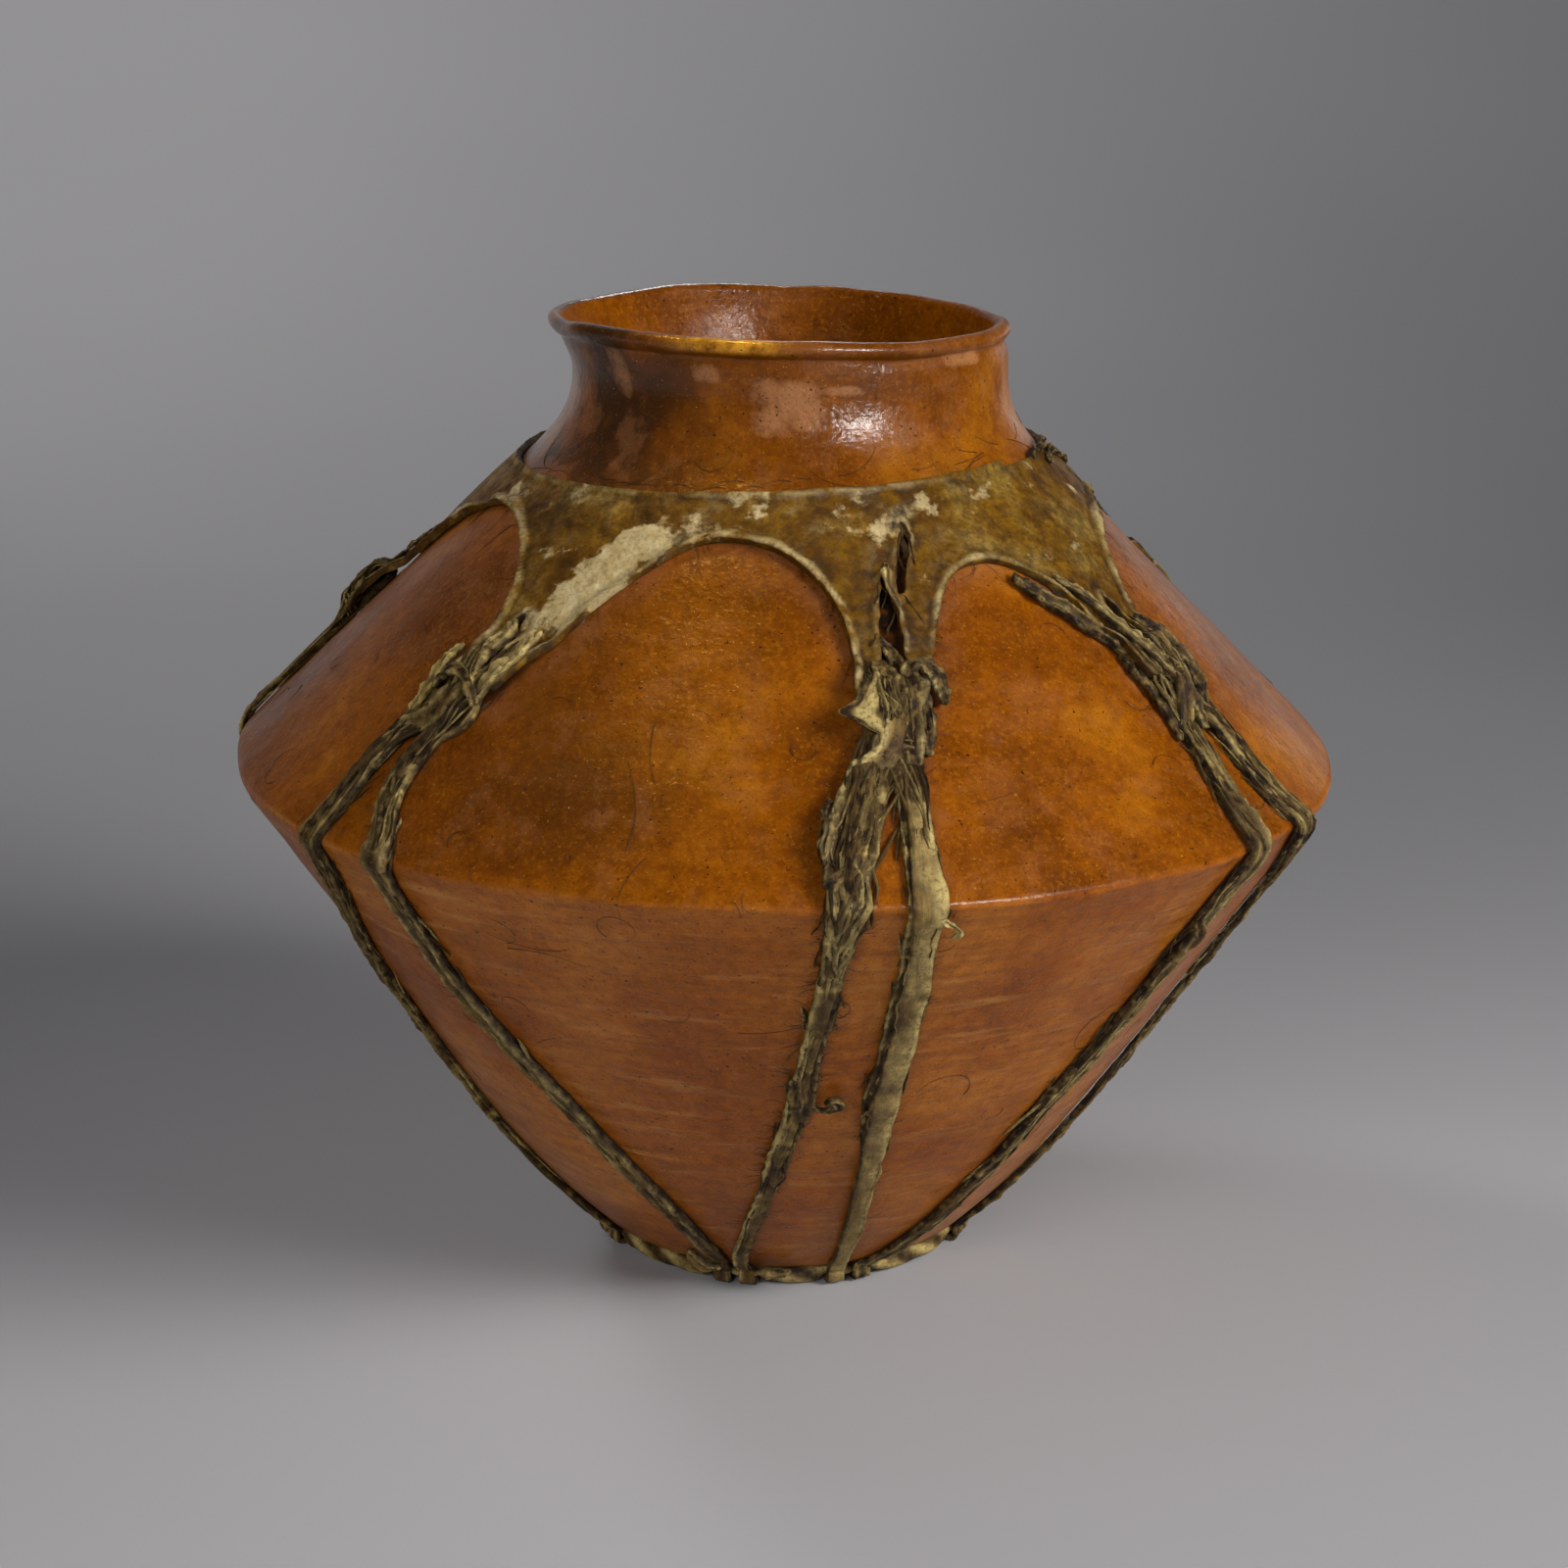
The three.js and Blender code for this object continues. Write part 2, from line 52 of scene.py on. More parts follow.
def smooth(value, low, high):
    t = clamped((value - low) / (high - low))
    return t * t * (3 - 2 * t)


def mix(a, b, share):
    return a + (b - a) * share


def apart(angle, middle):  # degrees from middle to angle, the short way round
    return (angle - middle + 180) % 360 - 180


def halved(low, high, rounds, isBelow):  # the last value that is still below, found by halving
    for _ in range(rounds):
        middle = (low + high) / 2
        if isBelow(middle):
            low = middle
        else:
            high = middle
    return low


def hermite(start, pull, end, pullEnd, t):
    return (start * (2 * t ** 3 - 3 * t ** 2 + 1) + pull * (t ** 3 - 2 * t ** 2 + t)
            + end * (3 * t ** 2 - 2 * t ** 3) + pullEnd * (t ** 3 - t ** 2))


def through(points, value):  # smooth curve through (mark, value) pairs, read at a mark
    i = max(1, min(len(points) - 1, bisect_right([mark for mark, _ in points], value)))
    (x0, y0), (x1, y1) = points[i - 1], points[i]
    low, high = points[max(0, i - 2)], points[min(len(points) - 1, i + 1)]
    return hermite(y0, (y1 - low[1]) / (x1 - low[0]) * (x1 - x0), y1, (high[1] - y0) / (high[0] - x0) * (x1 - x0),
                   clamped((value - x0) / (x1 - x0)))


def treeOf(points):
    tree = kdtree.KDTree(len(points))
    for k, point in enumerate(points):
        tree.insert(point, k)
    tree.balance()
    return tree


def wave(value, seed, scale=1.0):  # smooth repeatable noise along a line, about -1 to 1
    return noise.noise(Vector((value / scale, seed * 7.31, seed * 1.7))) * 1.6


def bell(value, middle, wide, power=2):  # 1 at the middle, falling to 0 either side
    return math.exp(-((value - middle) / wide) ** power)


# the wall of the pot, which everything else lies on

potShape = {
    "height": 215.5, "edgeRadius": 125.8, "edgeHeight": 117.5, "edgeRounding": 4.5,
    "edgeCrisp": 1.5, "edgeWorn": 5.2, "crispMiddle": 6, "crispReach": (50, 84),
    "baseRadius": 44, "baseLift": 4.4, "baseDip": 1.0, "baseSlope": 47, "baseReach": 36,
    "bellySlope": 34, "bellyReach": 70, "shoulderSlope": 45.4,
    "throatRadius": 48.4, "throatBelowLip": 12, "neckSpread": 20.1, "neckReach": 0.42,
    "lipFlare": 0.2, "lipRound": 1.9, "wall": 5.5, "neckWall": 4.2,
    "edgeTilt": 0.014, "lipTilt": 0.036, "throatDrift": 1.3, "lipDrift": -1.2,
    "segments": 160, "handWobble": 0.55, "wobbleSize": 48,
}


def slopeUp(degrees):
    return Vector((math.sin(math.radians(degrees)), math.cos(math.radians(degrees))))


def curveOf(start, pullStart, pullEnd, end, steps):
    return [Vector(p) for p in interpolate_bezier(start, pullStart, pullEnd, end, steps + 1)]


p = potShape
belly, shoulder = slopeUp(p["bellySlope"]), slopeUp(-p["shoulderSlope"])
basePoint = Vector((p["baseRadius"], p["baseLift"]))
edgePoint = Vector((p["edgeRadius"], p["edgeHeight"]))
neckFoot = p["throatRadius"] + p["neckSpread"]
neckPoint = edgePoint + shoulder * ((neckFoot - p["edgeRadius"]) / shoulder.x)
throatHeight = p["height"] - p["throatBelowLip"]
throatPoint = Vector((p["throatRadius"], throatHeight))


def lowerWall(start, end, steps):
    return curveOf(start, start + slopeUp(p["baseSlope"]) * p["baseReach"],
                   end - belly * p["bellyReach"], end, steps)


def neckCurve(start, end, steps):
    reach = (end.y - start.y) * p["neckReach"]
    return curveOf(start, start + shoulder * (reach / shoulder.y), end - Vector((0, reach)), end, steps)


edgeHalf = math.acos((-belly).dot(shoulder)) / 2
edgeInward = (shoulder - belly).normalized()


def wornEdge(steps):
    half, inward = edgeHalf, edgeInward
    centre = edgePoint + inward * (p["edgeRounding"] / math.sin(half))
    first = edgePoint - belly * (p["edgeRounding"] / math.tan(half)) - centre
    sweep = math.pi - 2 * half
    points = []
    for i in range(steps + 1):
        turn = sweep * i / steps
        points.append(centre + Vector((first.x * math.cos(turn) - first.y * math.sin(turn),
                                       first.x * math.sin(turn) + first.y * math.cos(turn))))
    return points


edgeArc = wornEdge(8)
bellyPoints = [q for q in lowerWall(basePoint, edgePoint, 40) if q.y < edgeArc[0].y - 1.5]
neckPoints = neckCurve(neckPoint, throatPoint, 14)
shoulderPoints = [edgeArc[-1].lerp(neckPoint, i / 12) for i in range(1, 12)]
outside = bellyPoints + edgeArc + shoulderPoints + neckPoints
lengths = [0.0]
for before, after in zip(outside, outside[1:]):
    lengths.append(lengths[-1] + (after - before).length)
edgeLength = (lengths[len(bellyPoints)] + lengths[len(bellyPoints) + len(edgeArc) - 1]) / 2
slope = (p["edgeRadius"] - neckFoot) / math.sin(math.radians(p["shoulderSlope"]))


def wallAt(length):  # point and outward direction of the wall's profile at a length up from the base
    i = max(1, min(len(lengths) - 1, bisect_right(lengths, length)))
    share = (length - lengths[i - 1]) / (lengths[i] - lengths[i - 1])
    point = outside[i - 1].lerp(outside[i], share)
    low, high = outside[max(0, i - 2)], outside[min(len(outside) - 1, i + 1)]
    along = (high - low).normalized()
    return point, Vector((along.y, -along.x))


def lengthAt(height):
    return halved(0.0, lengths[-1], 24, lambda length: wallAt(length)[0].y < height)


def onCircle(radius, angle, height):
    turn = math.radians(angle)
    return Vector((radius * math.sin(turn), -radius * math.cos(turn), height))


def edgeDepth(aside, radius):  # how far a rounded edge lies inside the sharp corner
    if abs(aside) >= radius * math.cos(edgeHalf):
        return abs(aside) / math.tan(edgeHalf)
    return radius / math.sin(edgeHalf) - math.sqrt(radius ** 2 - aside ** 2)


def crisper(point, angle):  # the edge is crisp in front and worn round towards the sides
    aside = (point - edgePoint).dot(Vector((-edgeInward.y, edgeInward.x)))
    if abs(aside) > 6 or (point - edgePoint).length > 9:
        return Vector((0, 0))
    away = abs(apart(angle, p["crispMiddle"]))
    radius = mix(p["edgeCrisp"], p["edgeWorn"], smooth(away, *p["crispReach"]))
    return edgeInward * (edgeDepth(aside, radius) - edgeDepth(aside, p["edgeRounding"]))


def onWall(length, angle, lift):
    point, out = wallAt(length)
    point = point + crisper(point, angle) + out * lift
    return onCircle(point.x, angle, point.y)


def outOf(length, angle):
    out = wallAt(length)[1]
    return onCircle(out.x, angle, out.y)


def settle(q):  # the lean of the hand-built pot, and its slow unevenness, which all pieces share
    x, z = q.x, q.z
    lip = smooth(z, throatHeight, p["height"])
    edge = smooth(z, 2 * p["baseLift"], p["edgeHeight"]) - smooth(z, p["edgeHeight"], throatHeight)
    neck = smooth(z, neckPoint.y, throatHeight)
    moved = Vector((x + mix(p["throatDrift"] * neck, p["lipDrift"], lip), q.y,
                    z - x * (p["edgeTilt"] * edge + p["lipTilt"] * lip)))
    reach = math.hypot(x, q.y)
    if reach > 20 and z > 8:
        out = Vector((x / reach, q.y / reach, 0))
        much = p["handWobble"] * smooth(z, 8, 40)
        moved += out * noise.noise(moved / p["wobbleSize"]) * much
        moved.z += noise.noise(moved / p["wobbleSize"] + Vector((9, 4, 2))) * much * 0.6
    return moved


# helpers for modelling

def nothingSelected():
    if bpy.context.object and bpy.context.object.mode != "OBJECT":
        bpy.ops.object.mode_set(mode="OBJECT")
    bpy.ops.object.select_all(action="DESELECT")


def only(piece):
    nothingSelected()
    piece.select_set(True)
    bpy.context.view_layer.objects.active = piece


def editing(piece, kind="VERT", action="DESELECT"):
    only(piece)
    bpy.ops.object.mode_set(mode="EDIT")
    bpy.ops.mesh.select_mode(type=kind)
    bpy.ops.mesh.select_all(action=action)


def facingOut():  # ends the editing of a piece
    bpy.ops.mesh.select_all(action="SELECT")
    bpy.ops.mesh.normals_make_consistent(inside=False)
    bpy.ops.object.mode_set(mode="OBJECT")


def applied(piece, kind, **settings):
    only(piece)
    modifier = piece.modifiers.new(kind.title(), kind)
    for name, value in settings.items():
        setattr(modifier, name, value)
    bpy.ops.object.modifier_apply(modifier=modifier.name)


def painted(piece, layers):
    for name, values in layers.items():
        layer = piece.data.attributes.new(name, "FLOAT", "POINT")
        layer.data.foreach_set("value", values)


def spread(piece, place):  # the UV map, redrawn from its old corners
    uv = piece.data.uv_layers.active
    uv.name = "UVMap"
    for corner in uv.data:
        corner.uv = place(*corner.uv)


def newStrands(radius, sides):
    curve = bpy.data.curves.new("strands", "CURVE")
    curve.dimensions = "3D"
    curve.bevel_depth = radius * mm
    curve.bevel_resolution = sides
    curve.use_fill_caps = True
    return curve


def addStrand(curve, points):  # each point: its place in metres and its share of the radius
    spline = curve.splines.new("POLY")
    spline.points.add(len(points) - 1)
    for spot, (q, share) in zip(spline.points, points):
        spot.co = (*q, 1)
        spot.radius = share


def strandMesh(curve):
    strands = bpy.data.objects.new("strands", curve)
    bpy.context.collection.objects.link(strands)
    only(strands)
    bpy.ops.object.convert(target="MESH")
    return bpy.context.object


def finished(piece, name, material, node=None, smoothAngle=60):
    only(piece)
    piece.name = name
    piece.data.name = name
    bpy.ops.object.transform_apply(location=True, rotation=True, scale=True)
    bpy.ops.object.shade_smooth_by_angle(angle=math.radians(smoothAngle))
    piece.data.materials.clear()
    piece.data.materials.append(material)
    if node:
        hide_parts(node)
    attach(piece, "root")
    print(f"{name}: {len(piece.data.polygons)} faces")


# helpers for materials

def linearColour(hexColour):
    def channel(text):
        value = int(text, 16) / 255
        return value / 12.92 if value <= 0.04045 else ((value + 0.055) / 1.055) ** 2.4
    return tuple(channel(hexColour[i:i + 2]) for i in (1, 3, 5)) + (1.0,)


def addNode(tree, kind, settings=None, inputs=None, stops=()):  # an input is a value, a colour or another node's output
    node = tree.nodes.new("ShaderNode" + kind)
    for name, value in (settings or {}).items():
        setattr(node, name, value)
    for socket, value in (inputs or {}).items():
        if isinstance(value, bpy.types.NodeSocket):
            tree.links.new(value, node.inputs[socket])
        else:
            node.inputs[socket].default_value = linearColour(value) if isinstance(value, str) else value
    for i, (place, colour) in enumerate(stops):
        ramp = node.color_ramp.elements
        stop = ramp[i] if i < 2 else ramp.new(place)
        stop.position = place
        stop.color = linearColour(colour)
    return node


def newMaterial(name, *layers):  # layers are values painted on the points of the piece
    material = bpy.data.materials.new(name)
    material.use_nodes = True
    tree = material.node_tree
    tree.nodes.clear()
    shader = addNode(tree, "BsdfPrincipled")
    addNode(tree, "OutputMaterial", None, {"Surface": shader.outputs[0]})
    place = addNode(tree, "TexCoord").outputs["Object"]
    read = [addNode(tree, "Attribute", {"attribute_name": layer}).outputs["Fac"] for layer in layers]
    return material, tree, shader, place, read


def blended(tree, share, first, second, how="MIX"):
    return addNode(tree, "Mix", {"data_type": "RGBA", "blend_type": how}, {0: share, 6: first, 7: second}).outputs[2]


even = (1, 1, 1)


def cloudOf(tree, place, sizeMm, detail, stretch=even, rough=0.5):
    mapped = addNode(tree, "Mapping", None, {"Vector": place, "Scale": stretch}).outputs[0]
    return addNode(tree, "TexNoise", None, {"Vector": mapped, "Scale": 1 / (sizeMm * mm), "Detail": detail,
                                            "Roughness": rough}).outputs["Fac"]


def speckle(tree, place, sizeMm, detail, low, high, stretch=even, rough=0.55):
    cloud = cloudOf(tree, place, sizeMm, detail, stretch, rough)
    return addNode(tree, "MapRange", None, {"Value": cloud, "From Min": low, "From Max": high}).outputs[0]


def stained(tree, place, colour, stains):
    # a stain: its tone, its speckle or a mask made before, how much of it shows (a number, or a painted layer
    # with times and plus), and how it is laid on
    masks = {}
    for name, (tone, cloud, share, *how) in stains.items():
        mask = speckle(tree, place, *cloud) if isinstance(cloud, tuple) else cloud
        if isinstance(share, tuple):
            layer, times, plus = share
            share = addNode(tree, "Math", {"operation": "MULTIPLY_ADD"}, {0: layer, 1: times, 2: plus}).outputs[0]
        masks[name] = addNode(tree, "Math", {"operation": "MULTIPLY"}, {0: mask, 1: share}).outputs[0]
        colour = blended(tree, masks[name], colour, tone, *how)
    return colour, masks


def tornPatch(tree, place, layer, cloud, times, low, high, most):  # a painted patch with a ragged edge
    edge = addNode(tree, "Math", {"operation": "MULTIPLY_ADD"}, {0: speckle(tree, place, *cloud), 1: times, 2: layer})
    return addNode(tree, "MapRange", None, {"Value": edge.outputs[0], "From Min": low, "From Max": high,
                                            "To Max": most}).outputs[0]


def bumped(tree, shader, bumps, *sockets):  # a bump: its height, its strength and its depth in mm, below 0 for pits
    normal = None
    for height, strength, depth in bumps:
        inputs = {"Height": height, "Strength": strength, "Distance": abs(depth) * mm}
        if normal is not None:
            inputs["Normal"] = normal
        normal = addNode(tree, "Bump", {"invert": depth < 0}, inputs).outputs[0]
    for socket in sockets:
        tree.links.new(normal, shader.inputs[socket])


# Earthenware, brushed and burnished by hand and sealed with a resin varnish while warm:
# an orange, saturated body under a glossy skin that breaks up over pits and brush marks.
def burnishedClay():
    material, tree, shader, place, layers = newMaterial(
        "burnished_earthenware_resin_varnish", "upper", "besideHide", "smoked", "soiled", "scuffed", "pooled")
    upper, halo, smoked, soiled, scuffed, pooled = layers
    cloud = speckle(tree, place, 34, 5, 0.36, 0.64)
    amber, cone = (addNode(tree, "ValToRGB", None, {"Fac": cloud}, stops).outputs[0] for stops in (
        [(0.0, "#653200"), (1.0, "#995a08"), (0.4, "#783e00"), (0.75, "#894a02")],
        [(0.0, "#87440c"), (1.0, "#ad6820"), (0.5, "#9b5510")]))
    scuff = tornPatch(tree, place, scuffed, (6, 8, 0, 1, even, 0.66), 1 / 0.7, 0.79 / 0.7, 1.07 / 0.7, 0.52)
    colour, masks = stained(tree, place, blended(tree, upper, cone, amber), {
        "mottle": ("#d2c6b4", (3.0, 5, 0.62, 0.3), 1, "MULTIPLY"),  # cloudy, 2 to 4 mm
        "fleck": ("#a4680a", (1.0, 4, 0.5, 0.7), 0.34),
        "streak": ("#74400f", (26, 5, 0.47, 0.7, (1, 1, 14), 0.62), (upper, -0.52, 0.62)),  # brush marks run level
        "pale": ("#b67c40", (30, 4, 0.56, 0.72, (1, 1, 9), 0.6), (upper, -0.52, 0.62)),
        # smoke stains, with painted shade on the neck, deepest on its left
        "smoke": ("#3a1f03", (13, 5, 0.24, 0.54), (smoked, 1, 0)),
        "halo": ("#85502c", (6, 5, 0.36, 0.6), (halo, 0.72, 0)),  # dull pinkish clay where wet hide lay
        "worn": ("#94603a", (15, 8, 0.52, 0.6, even, 0.66), (smoked, 0.2, 0.14)),  # varnish worn thin in patches
        # dull scuffs, painted lighter pink as a sheen
        "scuff": ("#aa7850", scuff, 1),
        "pool": ("#c88c26", (3.0, 5, 0.3, 0.62), (pooled, 1, 0)),  # painted golden glint along the front of the lip
        "grit": ("#2c1606", (0.9, 2, 0.68, 0.72), 1),  # near 0.3 mm across
        "dust": ("#5a3006", (0.55, 3, 0.55, 0.7), 0.6),
        # painted golden glints, tiny sparkles of light
        "glint": ("#d29238", (0.6, 3, 0.66, 0.73), 0.45),
        # soot and painted shade on the clay in the open slits
        "slitSootAndShade": ("#140d07", (3, 4, 0.2, 0.5), (soiled, 1, 0)),
    })
    tree.links.new(colour, shader.inputs["Base Color"])

    sheen = speckle(tree, place, 9, 4, 0.3, 0.75)
    dull = addNode(tree, "MapRange", None, {"Value": sheen, "To Min": 0.26, "To Max": 0.46}).outputs[0]
    for name, much in (("halo", 0.25), ("worn", 0.3), ("scuff", 0.3)):
        dull = addNode(tree, "Math", {"operation": "MULTIPLY_ADD"}, {0: masks[name], 1: much, 2: dull}).outputs[0]
    tree.links.new(dull, shader.inputs["Roughness"])
    shader.inputs["IOR"].default_value = 1.48
    shader.inputs["Specular IOR Level"].default_value = 0.1
    coat = addNode(tree, "MapRange", None, {"Value": masks["worn"], "From Max": 0.4, "To Min": 0.19, "To Max": 0.06})
    glossy = addNode(tree, "Math", {"operation": "MULTIPLY_ADD"}, {0: smoked, 1: 0.75, 2: coat.outputs[0]})
    tree.links.new(glossy.outputs[0], shader.inputs["Coat Weight"])
    shader.inputs["Coat Roughness"].default_value = 0.1
    brushShare = addNode(tree, "MapRange", None, {"Value": upper, "To Min": 0.5, "To Max": 0.16}).outputs[0]
    bumped(tree, shader, [
        (cloudOf(tree, place, 4.5, 4), 0.45, 0.6), (cloudOf(tree, place, 1.3, 4, even, 0.62), 0.55, 0.3),
        (cloudOf(tree, place, 14, 5, (1, 1, 7)), brushShare, 0.6), (masks["grit"], 0.6, -0.35),
    ], "Normal", "Coat Normal")
    return material


# Rawhide, scraped and dried without tanning: horn-like, olive to amber where it is thin and
# dirty, cream where the outer skin has rubbed away, pale along its cut edges.
def collarRawhide():
    material, tree, shader, place, (rim, rubbed, grime) = newMaterial("dried_rawhide_collar", "rim", "rubbed", "grime")
    cloud = speckle(tree, place, 22, 6, 0.35, 0.65, even, 0.6)
    hide = addNode(tree, "ValToRGB", None, {"Fac": cloud},
                   [(0.0, "#3c2104"), (1.0, "#907432"), (0.35, "#654204"), (0.7, "#7a560a")]).outputs[0]
    bare = tornPatch(tree, place, rubbed, (8, 7, 0.25, 0.75, even, 0.62), 1.6, 1.2, 1.46, 0.9)
    bareTone = blended(tree, speckle(tree, place, 3, 4, 0.3, 0.7), "#ac9560", "#d6c496")
    colour, masks = stained(tree, place, hide, {
        "stain": ("#42270a", (6, 7, 0.48, 0.7, even, 0.68), 0.75),
        "chalk": ("#908868", (7, 7, 0.52, 0.74, even, 0.68), (rubbed, 1.3, 0.22)),
        "mottle": ("#aea084", (2.6, 6, 0.6, 0.36, even, 0.72), 1, "MULTIPLY"),  # old stains 1 to 3 mm across
        "bare": (bareTone, bare, 1),
        # dirt in places, and painted shade in the groove inside the rolled rim
        "darkening": ("#261a10", (3, 6, 0.34, 0.6), (grime, 1, 0)),
        "rim": ("#b09c6c", (5, 4, 0.34, 0.58), (rim, 1, 0)),
        "pores": ("#3c2a14", (0.9, 3, 0.46, 0.72), 0.45),
    })
    tree.links.new(colour, shader.inputs["Base Color"])
    rough = addNode(tree, "MapRange", None, {"Value": masks["stain"], "From Max": 0.75, "To Min": 0.44, "To Max": 0.7})
    tree.links.new(rough.outputs[0], shader.inputs["Roughness"])
    shader.inputs["IOR"].default_value = 1.48
    shader.inputs["Specular IOR Level"].default_value = 0.2
    wrinkles, grain = cloudOf(tree, place, 5, 7, even, 0.62), cloudOf(tree, place, 0.9, 3)
    bumped(tree, shader, [(wrinkles, 0.7, 0.9), (grain, 0.6, 0.2)], "Normal")
    return material


# Rawhide thong, cut wet and shrunk tight: khaki, fibrous along its length, with pale rolled
# edges, lit on one side as a painted highlight, and near-black dirt and painted shade down its sides and folds.
def thongRawhide():
    material, tree, shader, place, (ridge, grime, relief) = newMaterial(
        "dried_rawhide_thong", "ridge", "grime", "relief")
    along = addNode(tree, "UVMap", {"uv_map": "UVMap"}).outputs[0]
    strand = (3.4, 0.3, 1)
    cloud = speckle(tree, place, 16, 4, 0.34, 0.66)
    hide = addNode(tree, "ValToRGB", None, {"Fac": cloud},
                   [(0.0, "#64441a"), (1.0, "#aa8e50"), (0.45, "#866730")]).outputs[0]
    sunken = addNode(tree, "MapRange", None, {"Value": relief, "From Min": 0.75, "From Max": 0.15}).outputs[0]
    colour, _ = stained(tree, place, hide, {
        "grey": ("#59462e", (9, 4, 0.5, 0.7), 0.5),
        "fibre": ("#2c1e10", speckle(tree, along, 2.2, 6, 0.66, 0.3, strand, 0.66), 0.5),  # 0.6 mm wide
        # pale rolled edges, with a painted highlight on the lit edge
        "ridge": ("#c6af6e", (4, 4, 0.28, 0.56), (ridge, 1, 0)),
        # painted shade where the fibres are sunken
        "sunkenShade": ("#1f150c", sunken, 0.55),
        # dirt, and painted shade down the shaded edge and under the strap
        "darkening": ("#21150a", (2.4, 6, 0.26, 0.56), (grime, 1, 0)),
        "chips": ("#c9b888", (0.8, 5, 0.5, 0.7, even, 0.7), (grime, -0.5, 0.5)),
        "nicks": ("#35240f", (0.8, 5, 0.5, 0.64), 0.6),
    })
    tree.links.new(colour, shader.inputs["Base Color"])
    rough = addNode(tree, "MapRange", None, {"Value": cloud, "To Min": 0.5, "To Max": 0.75}).outputs[0]
    tree.links.new(rough, shader.inputs["Roughness"])
    shader.inputs["IOR"].default_value = 1.48
    shader.inputs["Specular IOR Level"].default_value = 0.2
    fibres, lumps = cloudOf(tree, along, 1.8, 6, strand, 0.68), cloudOf(tree, place, 1.6, 5)
    bumped(tree, shader, [(fibres, 0.9, 0.5), (lumps, 0.7, 0.45)], "Normal")
    return material


# Coarse animal hair left on the hide: near black with a brown cast and a soft shine.
def coarseHair():
    material, tree, shader, place, _ = newMaterial("coarse_animal_hair")
    cloud = speckle(tree, place, 12, 2, 0.3, 0.7)
    colour = addNode(tree, "ValToRGB", None, {"Fac": cloud}, [(0.0, "#150d07"), (1.0, "#3b2412")]).outputs[0]
    tree.links.new(colour, shader.inputs["Base Color"])
    shader.inputs["Roughness"].default_value = 0.45
    return material


# Painted studio sweep: pale warm-grey paint, dead matt.
def sweepPaint():
    material, tree, shader, place, _ = newMaterial("matt_studio_paint")
    colour = blended(tree, speckle(tree, place, 400, 2, 0.2, 0.8), "#9f9fa3", "#a5a5a9")
    tree.links.new(colour, shader.inputs["Base Color"])
    shader.inputs["Roughness"].default_value = 0.85
    shader.inputs["Specular IOR Level"].default_value = 0.0
    return material


clayFinish, collarFinish, thongFinish, hairFinish = burnishedClay(), collarRawhide(), thongRawhide(), coarseHair()
print("materials made")

# tabs and the paths of their thongs: angle at each height up the wall

